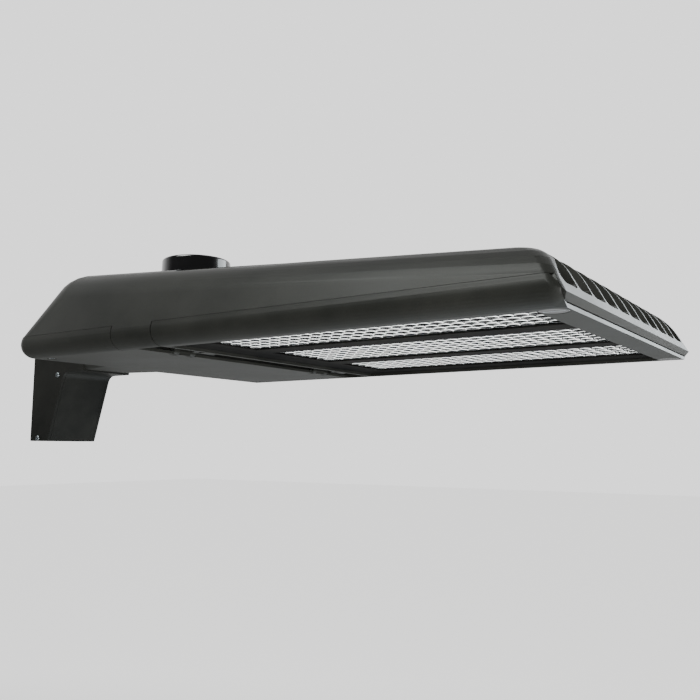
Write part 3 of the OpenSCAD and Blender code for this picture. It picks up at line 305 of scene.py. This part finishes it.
def makeStudio(s):
    towards = Vector(s["lightWallTowards"]).normalized()
    bpy.ops.mesh.primitive_grid_add(x_subdivisions=8, y_subdivisions=8, size=s["floorSize"],
                                    location=s["floorMiddle"])
    floor = bpy.context.object
    floor.name = "studioFloor"
    material, tree, shader, place = newMaterial("studioFloorPaper")    # seamless paper, flat and pale
    shader.inputs["Base Color"].default_value = linear(s["floorColour"])
    shader.inputs["Roughness"].default_value = 0.9
    shader.inputs["Specular IOR Level"].default_value = 0.0
    shader.inputs["Emission Color"].default_value = linear(s["wallColour"])
    away = addNode(tree, "ShaderNodeVectorMath", {"operation": "DOT_PRODUCT", 1: towards},
                   {0: place})
    # far off, the paper is lit from behind and meets the wall unseen
    glow = addNode(tree, "ShaderNodeMapRange",
                   {"interpolation_type": "SMOOTHSTEP", "From Min": s["floorGlow"][0],
                    "From Max": s["floorGlow"][1], "To Min": 0.0, "To Max": s["floorGlowMost"]},
                   {"Value": away.outputs["Value"]})
    tree.links.new(glow.outputs["Result"], shader.inputs["Emission Strength"])
    floor.data.materials.append(material)
    world = bpy.data.worlds.new("studioRoom")
    bpy.context.scene.world = world
    world.use_nodes = True
    tree = world.node_tree
    back = tree.nodes["Background"]    # a white wall behind the object and an unlit room before it
    back.inputs["Color"].default_value = linear(s["wallColour"])
    direction = addNode(tree, "ShaderNodeTexCoord")
    along = addNode(tree, "ShaderNodeVectorMath", {"operation": "DOT_PRODUCT", 1: towards},
                    {0: direction.outputs["Generated"]})
    wall = addNode(tree, "ShaderNodeMapRange",
                   {"interpolation_type": "SMOOTHSTEP", "From Min": s["wallEdge"][0],
                    "From Max": s["wallEdge"][1], "To Min": s["darkWall"], "To Max": s["lightWall"]},
                   {"Value": along.outputs["Value"]})
    split = addNode(tree, "ShaderNodeSeparateXYZ", links={"Vector": direction.outputs["Generated"]})
    # over the top of the wall the room is unlit as well
    aloft = addNode(tree, "ShaderNodeMapRange",
                    {"interpolation_type": "SMOOTHSTEP", "From Min": s["wallTop"][0],
                     "From Max": s["wallTop"][1], "To Min": 1.0, "To Max": s["aboveWall"]},
                    {"Value": split.outputs["Z"]})
    lit = addNode(tree, "ShaderNodeMath", {"operation": "MULTIPLY"},
                  {0: wall.outputs["Result"], 1: aloft.outputs["Result"]})
    tree.links.new(lit.outputs["Value"], back.inputs["Strength"])


lamps = {
    "over": {"place": (0.3, 0.2, 1.9), "aim": (0.4, 0, 0.05), "size": (2.6, 1.6), "power": 8,
             "colour": "#ffffff"},
    "side": {"place": (0.06, -1.24, 1.6), "aim": (0.6, -0.1, 0.05), "size": (1.0, 1.3), "power": 72,
             "colour": "#fbfffb"},
    "far": {"place": (1.75, 1.7, 0.6), "aim": (0.8, 0, 0.04), "size": (1.6, 1.2), "power": 58,
            "colour": "#f2fbff"},
    "below": {"place": (0.6, 0.75, -1.25), "aim": (0.5, 0, 0.0), "size": (1.6, 1.0), "power": 24,
              "colour": "#eef8ff"},
    "lens": {"place": (2.1, -1.0, -0.55), "aim": (0.5, -0.05, 0.0), "size": (0.6, 0.5), "power": 84,
             "colour": "#ffffff"},
}

def makeLamps(table):
    for name, l in table.items():
        bpy.ops.object.light_add(type="AREA", location=l["place"])
        lamp = bpy.context.object
        lamp.name = name + "Lamp"
        lamp.data.shape = "RECTANGLE"
        lamp.data.size, lamp.data.size_y = l["size"]
        lamp.data.energy = l["power"]
        lamp.data.color = linear(l["colour"])[:3]
        lamp.rotation_euler = (Vector(l["aim"]) - Vector(l["place"])).to_track_quat("-Z", "Y").to_euler()


makeStudio(studio)
makeLamps(lamps)
print("camera, floor and light done")


# finishes

def powderCoat(name, hexColour, roughness, below=0.56, specular=0.12, grainMm=0.9, depthMm=0.03,
               dustHex="#8a8880", dust=0.03):
    # powder coat on die-cast aluminium: an even satin skin with a very fine orange peel.
    # The real grain of 0.2 to 0.3 mm is too fine to show, so it is drawn at grainMm.
    # The faces that look down caught less spray, and are rougher: their roughness is below.
    material, tree, shader, place = newMaterial(name)
    peel = addNode(tree, "ShaderNodeTexNoise", {"Scale": 1000 / grainMm, "Detail": 2.0,
                                                "Roughness": 0.5}, {"Vector": place})
    film = addNode(tree, "ShaderNodeTexNoise", {"Scale": 1000 / 90, "Detail": 4.0, "Roughness": 0.6},
                   {"Vector": place})
    tone = addNode(tree, "ShaderNodeMapRange",
                   {"From Min": 0.3, "From Max": 0.75, "To Min": 0.0, "To Max": dust},
                   {"Value": film.outputs["Fac"]})
    mix = addNode(tree, "ShaderNodeMixRGB", {"Color1": linear(hexColour), "Color2": linear(dustHex)},
                  {"Fac": tone.outputs["Result"]})
    speck = addNode(tree, "ShaderNodeMapRange",
                    {"From Min": 0.35, "From Max": 0.65, "To Min": 0.88, "To Max": 1.12},
                    {"Value": peel.outputs["Fac"]})
    shade = addNode(tree, "ShaderNodeVectorMath", {"operation": "SCALE"},
                    {0: mix.outputs["Color"], "Scale": speck.outputs["Result"]})
    tree.links.new(shade.outputs["Vector"], shader.inputs["Base Color"])
    rough = addNode(tree, "ShaderNodeMapRange",
                    {"From Min": 0.3, "From Max": 0.7, "To Min": roughness - 0.04,
                     "To Max": roughness + 0.05},
                    {"Value": film.outputs["Fac"]})
    facing = addNode(tree, "ShaderNodeSeparateXYZ", links={"Vector": place.node.outputs["Normal"]})
    downward = addNode(tree, "ShaderNodeMapRange",
                       {"From Min": -0.35, "From Max": -0.95, "To Min": 0.0, "To Max": below - roughness},
                       {"Value": facing.outputs["Z"]})
    total = addNode(tree, "ShaderNodeMath", {"operation": "ADD"},
                    {0: rough.outputs["Result"], 1: downward.outputs["Result"]})
    tree.links.new(total.outputs["Value"], shader.inputs["Roughness"])
    bump = addNode(tree, "ShaderNodeBump", {"Strength": 0.35, "Distance": depthMm * mm},
                   {"Height": peel.outputs["Fac"]})
    tree.links.new(bump.outputs["Normal"], shader.inputs["Normal"])
    shader.inputs["Specular IOR Level"].default_value = specular
    return material


bronzeCoat = powderCoat("powderCoatDarkBronze", "#121311", 0.4, below=0.7)
bracketCoat = powderCoat("powderCoatBracket", "#090a09", 0.45, specular=0.05)
trimCoat = powderCoat("blackenedSheet", "#080808", 0.62, below=0.8, specular=0.02)
latchCoat = powderCoat("powderCoatLatch", "#161718", 0.35, below=0.45, specular=0.2)


def mouldedPlastic(name, hexColour, roughness, coat=0.0, grainMm=2.0, depthMm=0.01, specular=0.5):
    # injection-moulded plastic: one colour right through, with the faint unevenness of a polished tool
    material, tree, shader, place = newMaterial(name)
    flow = addNode(tree, "ShaderNodeTexNoise", {"Scale": 1000 / grainMm, "Detail": 3.0}, {"Vector": place})
    tone = addNode(tree, "ShaderNodeMapRange",
                   {"From Min": 0.3, "From Max": 0.7, "To Min": 0.92, "To Max": 1.06},
                   {"Value": flow.outputs["Fac"]})
    shade = addNode(tree, "ShaderNodeVectorMath", {"operation": "SCALE", 0: linear(hexColour)[:3]},
                    {"Scale": tone.outputs["Result"]})
    tree.links.new(shade.outputs["Vector"], shader.inputs["Base Color"])
    rough = addNode(tree, "ShaderNodeMapRange",
                    {"From Min": 0.3, "From Max": 0.7, "To Min": max(0.02, roughness - 0.03),
                     "To Max": roughness + 0.04},
                    {"Value": flow.outputs["Fac"]})
    tree.links.new(rough.outputs["Result"], shader.inputs["Roughness"])
    bump = addNode(tree, "ShaderNodeBump", {"Strength": 0.3, "Distance": depthMm * mm},
                   {"Height": flow.outputs["Fac"]})
    tree.links.new(bump.outputs["Normal"], shader.inputs["Normal"])
    shader.inputs["Coat Weight"].default_value = coat
    shader.inputs["Specular IOR Level"].default_value = specular
    shader.inputs["IOR"].default_value = 1.49
    return material


def platedSteel(name, hexColour, roughness, wearMm=4.0):
    # zinc or nickel plate: bright metal whose roughness wanders as handling and weather dull it
    material, tree, shader, place = newMaterial(name)
    wear = addNode(tree, "ShaderNodeTexNoise", {"Scale": 1000 / wearMm, "Detail": 5.0,
                                                "Roughness": 0.65}, {"Vector": place})
    tone = addNode(tree, "ShaderNodeMapRange",
                   {"From Min": 0.3, "From Max": 0.7, "To Min": 0.8, "To Max": 1.08},
                   {"Value": wear.outputs["Fac"]})
    shade = addNode(tree, "ShaderNodeVectorMath", {"operation": "SCALE", 0: linear(hexColour)[:3]},
                    {"Scale": tone.outputs["Result"]})
    tree.links.new(shade.outputs["Vector"], shader.inputs["Base Color"])
    rough = addNode(tree, "ShaderNodeMapRange",
                    {"From Min": 0.3, "From Max": 0.7, "To Min": roughness - 0.08, "To Max": roughness + 0.1},
                    {"Value": wear.outputs["Fac"]})
    tree.links.new(rough.outputs["Result"], shader.inputs["Roughness"])
    lines = addNode(tree, "ShaderNodeBump", {"Strength": 0.15, "Distance": 0.02 * mm},
                    {"Height": wear.outputs["Fac"]})
    tree.links.new(lines.outputs["Normal"], shader.inputs["Normal"])
    shader.inputs["Metallic"].default_value = 1.0
    return material


def galvanised(name, hexColour, spangleMm=9.0):
    # hot-dip galvanised sheet: flat crystals of zinc, each a shade lighter or darker than the next
    material, tree, shader, place = newMaterial(name)
    warp = addNode(tree, "ShaderNodeTexNoise", {"Scale": 1000 / (spangleMm * 2), "Detail": 2.0},
                   {"Vector": place})
    shift = addNode(tree, "ShaderNodeVectorMath", {"operation": "MULTIPLY_ADD", 1: (0.004, 0.004, 0.004)},
                    {0: warp.outputs["Color"], 2: place})
    crystal = addNode(tree, "ShaderNodeTexVoronoi", {"Scale": 1000 / spangleMm, "Randomness": 1.0},
                      {"Vector": shift.outputs["Vector"]})
    grey = addNode(tree, "ShaderNodeRGBToBW", links={"Color": crystal.outputs["Color"]})
    tone = addNode(tree, "ShaderNodeMapRange", {"To Min": 0.72, "To Max": 1.08},
                   {"Value": grey.outputs["Val"]})
    shade = addNode(tree, "ShaderNodeVectorMath", {"operation": "SCALE", 0: linear(hexColour)[:3]},
                    {"Scale": tone.outputs["Result"]})
    tree.links.new(shade.outputs["Vector"], shader.inputs["Base Color"])
    rough = addNode(tree, "ShaderNodeMapRange", {"To Min": 0.3, "To Max": 0.48},
                    {"Value": grey.outputs["Val"]})
    tree.links.new(rough.outputs["Result"], shader.inputs["Roughness"])
    shader.inputs["Metallic"].default_value = 1.0
    return material


def softRubber(name, hexColour, roughness=0.75):
    # moulded silicone or EPDM: matt, with a painted sheen that lightens the faces seen edge-on
    material, tree, shader, place = newMaterial(name)
    grain = addNode(tree, "ShaderNodeTexNoise", {"Scale": 1000 / 1.2, "Detail": 3.0}, {"Vector": place})
    grazingSheen = addNode(tree, "ShaderNodeLayerWeight", {"Blend": 0.25})
    # painted sheen: up to half again as light where the surface is seen at a grazing angle
    tone = addNode(tree, "ShaderNodeMapRange", {"To Min": 0.95, "To Max": 1.5},
                   {"Value": grazingSheen.outputs["Facing"]})
    shade = addNode(tree, "ShaderNodeVectorMath", {"operation": "SCALE", 0: linear(hexColour)[:3]},
                    {"Scale": tone.outputs["Result"]})
    tree.links.new(shade.outputs["Vector"], shader.inputs["Base Color"])
    bump = addNode(tree, "ShaderNodeBump", {"Strength": 0.4, "Distance": 0.03 * mm},
                   {"Height": grain.outputs["Fac"]})
    tree.links.new(bump.outputs["Normal"], shader.inputs["Normal"])
    shader.inputs["Roughness"].default_value = roughness
    return material


# painted highlight: the clear acrylic rim is drawn white where its crest catches the light
rimPaintedHighlight = mouldedPlastic("acrylicRimPaintedHighlight", "#f4f5f4", 0.25, coat=0.4)
# the dark cup round each chip
cupPlastic = mouldedPlastic("polycarbonateBlack", "#040405", 0.5, specular=0.06)
# clear dome, tinted by the yellow chip behind it
domeClear = mouldedPlastic("acrylicDomeOverChip", "#b9a24a", 0.08, coat=0.8)
carrierPlastic = mouldedPlastic("polycarbonateCarrier", "#0a0a0b", 0.5, specular=0.06)
# glossy weather cap
capPlastic = mouldedPlastic("polycarbonateGlossCap", "#040405", 0.12, coat=0.1, grainMm=6, depthMm=0.02)
# the matt socket under it
socketPlastic = mouldedPlastic("nylonGlassFilledBlack", "#101010", 0.5, grainMm=0.8, depthMm=0.03)
casePlastic = mouldedPlastic("driverCaseWhiteCoat", "#d9dad6", 0.42, grainMm=1.0, depthMm=0.03)
surgePlastic = mouldedPlastic("surgeCaseBlack", "#17181a", 0.4, grainMm=0.9, depthMm=0.03)
terminalPlastic = mouldedPlastic("terminalNylonNatural", "#d6cfb8", 0.5, grainMm=1.5)
# the board's white lacquer throws light down
solderMask = mouldedPlastic("boardWhiteSolderMask", "#e9ebe6", 0.38, grainMm=3.0)
screwPlate = platedSteel("steelZincPlated", "#b9bdc0", 0.3)
boltPlate = platedSteel("steelDarkZinc", "#6e7376", 0.38)
pinSteel = platedSteel("steelStainlessPin", "#8f9396", 0.28)
# bright zinc only for the latch's steep edge faces: a painted highlight
latchGlintZinc = platedSteel("zincDieCastLatchGlint", "#a9adb0", 0.3)
groundPaint = mouldedPlastic("groundGreenLacquer", "#1f6b34", 0.35)
traySheet = galvanised("steelGalvanisedSpangle", "#b8bcc0")
sealRubber = softRubber("siliconeSealBlack", "#111111")
paleSilicone = softRubber("siliconeSealPale", "#a9aaa6", 0.6)
print("finishes done")


# castings: a merged copy of each solid, with its sharp edges broken.
# edge is the most that the bevel may take, in mm. Its clamp narrows all the edges of a piece to
# suit the tightest one. The cap, socket, ring, grommet and surge case get about their full width,
# and the near latch, terminals, lid, tray and driver case a part of it. The head, frame, door,
# trim, bracket and far latch get so little that their edges stay sharp to the eye.

castings = {
    "housing": {"name": "headCasting", "body": "head", "edge": 0.2, "tipRound": True,
                "material": bronzeCoat, "slot": "housing_paint"},
    "optical_frame": {"name": "frameCasting", "body": "optical_frame", "edge": 0.2, "lip": 0.65,
                      "tipRound": True, "material": bronzeCoat, "slot": "frame_paint"},
    "driver_door": {"name": "doorCasting", "body": "driver_door", "edge": 0.2, "lip": 0.65,
                    "material": bronzeCoat, "slot": "door_paint"},
    "arm_bracket": {"name": "bracketCasting", "body": "head", "edge": 0.8, "material": bracketCoat,
                    "slot": "bracket_paint"},
    "bracket_cover": {"name": "bracketLid", "body": "head", "edge": 0.3, "material": bracketCoat,
                      "slot": "bracket_paint"},
    "lens_bezel": {"name": "lensTrim", "body": "optical_frame", "edge": 0.25, "material": trimCoat,
                   "slot": "trim"},
    "latch_near": {"name": "latchNear", "body": "latch_near", "edge": 0.35, "material": latchCoat,
                   "slot": "latch_metal", "bright": latchGlintZinc},
    "latch_far": {"name": "latchFar", "body": "latch_far", "edge": 0.35, "material": latchCoat,
                  "slot": "latch_metal", "bright": latchGlintZinc},
    "wire_grommet": {"name": "wireGrommet", "body": "head", "edge": 0.4, "material": sealRubber,
                     "slot": "seal"},
    "socket_ring": {"name": "socketRing", "body": "head", "edge": 0.4, "material": socketPlastic,
                    "slot": "socket_body"},
    "control_socket": {"name": "controlSocket", "body": "socket", "edge": 0.35,
                       "material": socketPlastic, "slot": "socket_body"},
    "control_cap": {"name": "controlCap", "body": "cap", "edge": 0.4, "material": capPlastic,
                    "slot": "cap_body"},
    "driver_tray": {"name": "driverTray", "body": "head", "edge": 0.3, "material": traySheet,
                    "slot": "tray_metal"},
    "led_driver": {"name": "ledDriver", "body": "head", "edge": 0.5, "material": casePlastic,
                   "slot": "driver_case"},
    "surge_protector": {"name": "surgeProtector", "body": "head", "edge": 0.5, "material": surgePlastic,
                        "slot": "surge_case"},
    "terminal_block": {"name": "terminalBlock", "body": "head", "edge": 0.3,
                       "material": terminalPlastic, "slot": "terminal_body"},
}

castingRule = {"flatDeg": 0.2, "edgeDeg": 32, "edgeSteps": 2, "smoothDeg": 28, "rimBand": 0.2,
               "glintTurn": (-0.95, -0.1)}    # faces this steep get bright zinc: a painted highlight, the glints along the latch's edge

# corner radius in mm; reach is how far back from the tip the hull goes; the spread behind it is in shares
tipShape = {"radius": 8, "segments": 6, "reach": 0.12, "behind": 1.2, "ramp": 0.01, "spread": (1, 1.6, 4),
            "nose": 0.3, "flank": 0.12, "flankTurn": 0.2, "clear": 0.02}

def makeTipBlock(t):
    # the space that the head may fill: its own hull at the tip, with the corners between the
    # nose and the sides rounded, and far more room than it needs behind. The cut with it leaves
    # some short open and doubled edges on the head and the frame, all of them near the tip.
    parts = []
    for nodeName in ("housing", "optical_frame"):
        part = bpy.data.objects.new("tipHull", nodes[nodeName].data.copy())
        bpy.context.scene.collection.objects.link(part)
        parts.append(part)
    block = joined(parts)
    bpy.ops.object.mode_set(mode="EDIT")
    bpy.ops.mesh.select_mode(type="VERT")
    bpy.ops.mesh.select_all(action="SELECT")
    bpy.ops.mesh.bisect(plane_co=(tip.x - t["reach"], 0, 0), plane_no=(-1, 0, 0), clear_outer=True)
    bpy.ops.mesh.select_all(action="SELECT")
    bpy.ops.mesh.convex_hull()
    bpy.ops.mesh.select_all(action="SELECT")
    bpy.ops.mesh.remove_doubles(threshold=weld["tip"])
    bpy.ops.mesh.dissolve_limited(angle_limit=math.radians(1.0))
    pickFaces(block, lambda centre, normal: normal.x < -0.99 and centre.x < tip.x - t["reach"] + mm)
    bpy.ops.mesh.extrude_region_move(TRANSFORM_OT_translate={"value": (-t["ramp"], 0, 0)})
    bpy.ops.transform.resize(value=t["spread"])
    bpy.ops.mesh.extrude_region_move(TRANSFORM_OT_translate={"value": (-t["behind"], 0, 0)})
    bpy.ops.object.mode_set(mode="OBJECT")
    beside = {}
    for polygon in block.data.polygons:
        for key in polygon.edge_keys:
            beside.setdefault(key, []).append(polygon.normal.copy())
    bpy.ops.object.mode_set(mode="EDIT")
    bpy.ops.mesh.select_mode(type="EDGE")
    bpy.ops.mesh.select_all(action="DESELECT")
    bpy.ops.object.mode_set(mode="OBJECT")
    for edge in block.data.edges:
        pair = beside.get(edge.key, [])
        noses = [n for n in pair if n.x > t["nose"]]
        flanks = [n for n in pair if abs(n.y) > t["flank"] and abs(n.x) < t["flankTurn"]]
        edge.select = bool(noses and flanks)
    print("tip block edges", sum(edge.select for edge in block.data.edges), "faces", len(block.data.polygons))
    bpy.ops.object.mode_set(mode="EDIT")
    bpy.ops.mesh.bevel(offset=t["radius"] * mm, segments=t["segments"], profile=0.5, clamp_overlap=False)
    bpy.ops.mesh.select_mode(type="VERT")
    bpy.ops.mesh.select_all(action="SELECT")
    bpy.ops.mesh.normals_make_consistent(inside=False)
    # off the faces that it would share with the head
    bpy.ops.transform.shrink_fatten(value=t["clear"] * mm)
    bpy.ops.object.mode_set(mode="OBJECT")
    return block


tipBlock = makeTipBlock(tipShape)


def castingFrom(nodeName, c):
    piece = bpy.data.objects.new(c["name"], nodes[nodeName].data.copy())
    bpy.context.scene.collection.objects.link(piece)
    onlySelect(piece)
    if piece.data.has_custom_normals:
        bpy.ops.mesh.customdata_custom_splitnormals_clear()
    bpy.ops.object.mode_set(mode="EDIT")
    bpy.ops.mesh.select_all(action="SELECT")
    bpy.ops.mesh.remove_doubles(threshold=weld["casting"])
    bpy.ops.mesh.dissolve_limited(angle_limit=math.radians(castingRule["flatDeg"]))
    bpy.ops.object.mode_set(mode="OBJECT")
    if c.get("lip"):    # the soft bead on the rim that nearly closes the gap below the shell
        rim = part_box(nodeName)[1].z - castingRule["rimBand"] * mm
        pickFaces(piece, lambda centre, normal: normal.z > 0.9 and centre.z > rim)
        bpy.ops.transform.translate(value=(0, 0, c["lip"] * mm))
        bpy.ops.object.mode_set(mode="OBJECT")
    if c.get("tipRound"):
        applyModifier(piece, "BOOLEAN", operation="INTERSECT", solver="EXACT", use_self=True, object=tipBlock)
        bpy.ops.object.mode_set(mode="EDIT")
        bpy.ops.mesh.select_mode(type="VERT")
        bpy.ops.mesh.select_all(action="SELECT")
        bpy.ops.mesh.remove_doubles(threshold=weld["cut"])
        bpy.ops.object.mode_set(mode="OBJECT")
    applyModifier(piece, "BEVEL", width=c["edge"] * mm, segments=castingRule["edgeSteps"],
                  limit_method="ANGLE", angle_limit=math.radians(castingRule["edgeDeg"]),
                  use_clamp_overlap=True, harden_normals=False)
    settle(piece, c["name"], c["body"], c["material"], nodeName, castingRule["smoothDeg"])
    if c.get("bright"):    # bright zinc on the steep edge faces: a painted highlight for the latch's glints
        least, most = castingRule["glintTurn"]
        paintFaces(piece, c["bright"], lambda centre, normal: least < normal.z < most)
    applyModifier(piece, "WEIGHTED_NORMAL", keep_sharp=True)
    print(c["name"], len(piece.data.polygons), "faces")


for nodeName, c in castings.items():
    castingFrom(nodeName, c)
bpy.data.objects.remove(tipBlock)
print("castings done")


# lens plates: one lens shaped and repeated over its group

lens = {"sides": 12, "height": 2.0, "along": 27, "endEdge": 4.5, "sideEdge": 3.5,
        "profile": [(5.95, 0), (5.75, 1.4), (5.45, 2.0), (5.0, 2.0), (4.6, 1.35), (2.9, 0.25),
                    (1.9, 0.25), (0, 0.95)],
        "highlightFrom": 4.9, "highlightAbove": 0.95, "plateEdge": 0.4, "smoothDeg": 40,
        "domeWithin": 1.6, "groups": {"near": 6, "mid": 7, "far": 6}}    # rows of lenses in each window

def makeLens(l):
    # turned with its face towards -Z: dark foot, a rim painted white as a painted highlight, dark cup and a
    # low dome.
    # It is open at its root, z = 0, where it stands on the plate.
    piece = lathe([(r, -z) for r, z in l["profile"]], l["sides"])
    piece.data.materials.append(cupPlastic)
    # the crest faces of the clear lens are painted white: a painted highlight
    paintFaces(piece, rimPaintedHighlight,
               lambda c, n: c.z < -l["highlightAbove"] * mm and Vector(c[:2]).length > l["highlightFrom"] * mm)
    paintFaces(piece, domeClear, lambda c, n: Vector(c[:2]).length < l["domeWithin"] * mm)
    return piece


def makeLensPlates(l):
    master = makeLens(l)
    for group, rows in l["groups"].items():
        node = "optic_" + group
        low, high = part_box(node)
        stepX = (high.x - low.x - 2 * l["endEdge"] * mm) / l["along"]
        stepY = (high.y - low.y - 2 * l["sideEdge"] * mm) / rows
        root = low.z + l["height"] * mm
        first = Vector((low.x + l["endEdge"] * mm + stepX / 2, low.y + l["sideEdge"] * mm + stepY / 2, root))
        array = copyTo(master, first)
        applyModifier(array, "ARRAY", count=l["along"], use_relative_offset=False, use_constant_offset=True,
                      constant_offset_displace=(stepX, 0, 0))
        applyModifier(array, "ARRAY", count=rows, use_relative_offset=False, use_constant_offset=True,
                      constant_offset_displace=(0, stepY, 0))
        bpy.ops.object.select_all(action="DESELECT")
        bpy.ops.mesh.primitive_cube_add(size=1, location=((low.x + high.x) / 2, (low.y + high.y) / 2,
                                                          (root + high.z) / 2))
        plate = bpy.context.object
        plate.scale = (high.x - low.x, high.y - low.y, high.z - root)
        onlySelect(plate)
        bpy.ops.object.transform_apply(location=True, rotation=True, scale=True)
        plate.data.materials.append(carrierPlastic)
        applyModifier(plate, "BEVEL", width=l["plateEdge"] * mm, segments=2)
        whole = joined([array, plate])
        settle(whole, "lensPlate" + group.title(), "head", None, node, l["smoothDeg"])
    bpy.data.objects.remove(master)
    print("lens plates done")


makeLensPlates(lens)


# screws and bolts

screws = {
    "board_screws": {
        "name": "boardScrews", "body": "head", "material": screwPlate, "slot": "screw_steel",
        "towards": (0, 0, -1), "shank": 0.9, "headHigh": 1.2, "recess": 0.55, "deep": 0.7, "pitch": 0.8,
        "smoothDeg": 35},
    "bezel_screws": {
        "name": "trimScrews", "body": "optical_frame", "material": screwPlate, "slot": "screw_steel",
        "towards": (0, 0, 1), "shank": 1.2, "headHigh": 1.4, "recess": 0.55, "deep": 0.7, "pitch": 0.9,
        "smoothDeg": 35},
    "door_screws": {
        "name": "doorScrews", "body": "driver_door", "material": boltPlate, "slot": "screw_steel",
        "towards": (0, 0, -1), "shank": 2.5, "headHigh": 1.6, "recess": 0.5, "deep": 0.8, "pitch": 1.2,
        "smoothDeg": 35},
    "cover_screws": {
        "name": "lidScrews", "body": "head", "material": boltPlate, "slot": "screw_steel",
        "towards": None, "shank": 2.0, "headHigh": 1.8, "recess": 0.55, "deep": 0.7, "pitch": 1.0,
        "smoothDeg": 35},
    "tray_screws": {
        "name": "trayScrews", "body": "head", "material": screwPlate, "slot": "screw_steel",
        "towards": (0, 0, -1), "shank": 2.0, "headHigh": 2.6, "recess": 0.5, "deep": 0.6, "pitch": 1.0,
        "smoothDeg": 35},
    "driver_screws": {
        "name": "driverScrews", "body": "head", "material": screwPlate, "slot": "screw_steel",
        "towards": (0, 0, -1), "shank": 2.0, "headHigh": 2.6, "recess": 0.5, "deep": 0.6, "pitch": 1.0,
        "smoothDeg": 35},
    "socket_screws": {
        "name": "socketScrews", "body": "head", "material": screwPlate, "slot": "screw_steel",
        "towards": (0, 0, 1), "shank": 1.6, "headHigh": 1.6, "recess": 0.55, "deep": 0.7, "pitch": 0.9,
        "smoothDeg": 35},
    "arm_bolts": {
        "name": "armBolts", "body": "head", "material": boltPlate, "slot": "bolt_steel",
        "towards": (-1, 0, 0), "shank": 4.0, "headHigh": 8.0, "recess": 0.5, "deep": 0.5, "pitch": 1.5,
        "hex": True, "smoothDeg": 35},
}

for node, s in screws.items():
    fasteners(node, s)
print("fasteners done")


# CAD nodes that keep their own mesh, with a finish each

keptNodes = {
    "frame_hinge_pins": pinSteel, "door_hinge_pins": pinSteel,
    "door_seal": sealRubber, "cap_seal": sealRubber,
    "lens_seal_near": paleSilicone, "lens_seal_mid": paleSilicone, "lens_seal_far": paleSilicone,
    "led_board_near": solderMask, "led_board_mid": solderMask, "led_board_far": solderMask,
    "ground_screw": groundPaint,
}

for node, material in keptNodes.items():
    for slot in nodes[node].material_slots:
        slot.material = material
print("kept nodes finished")
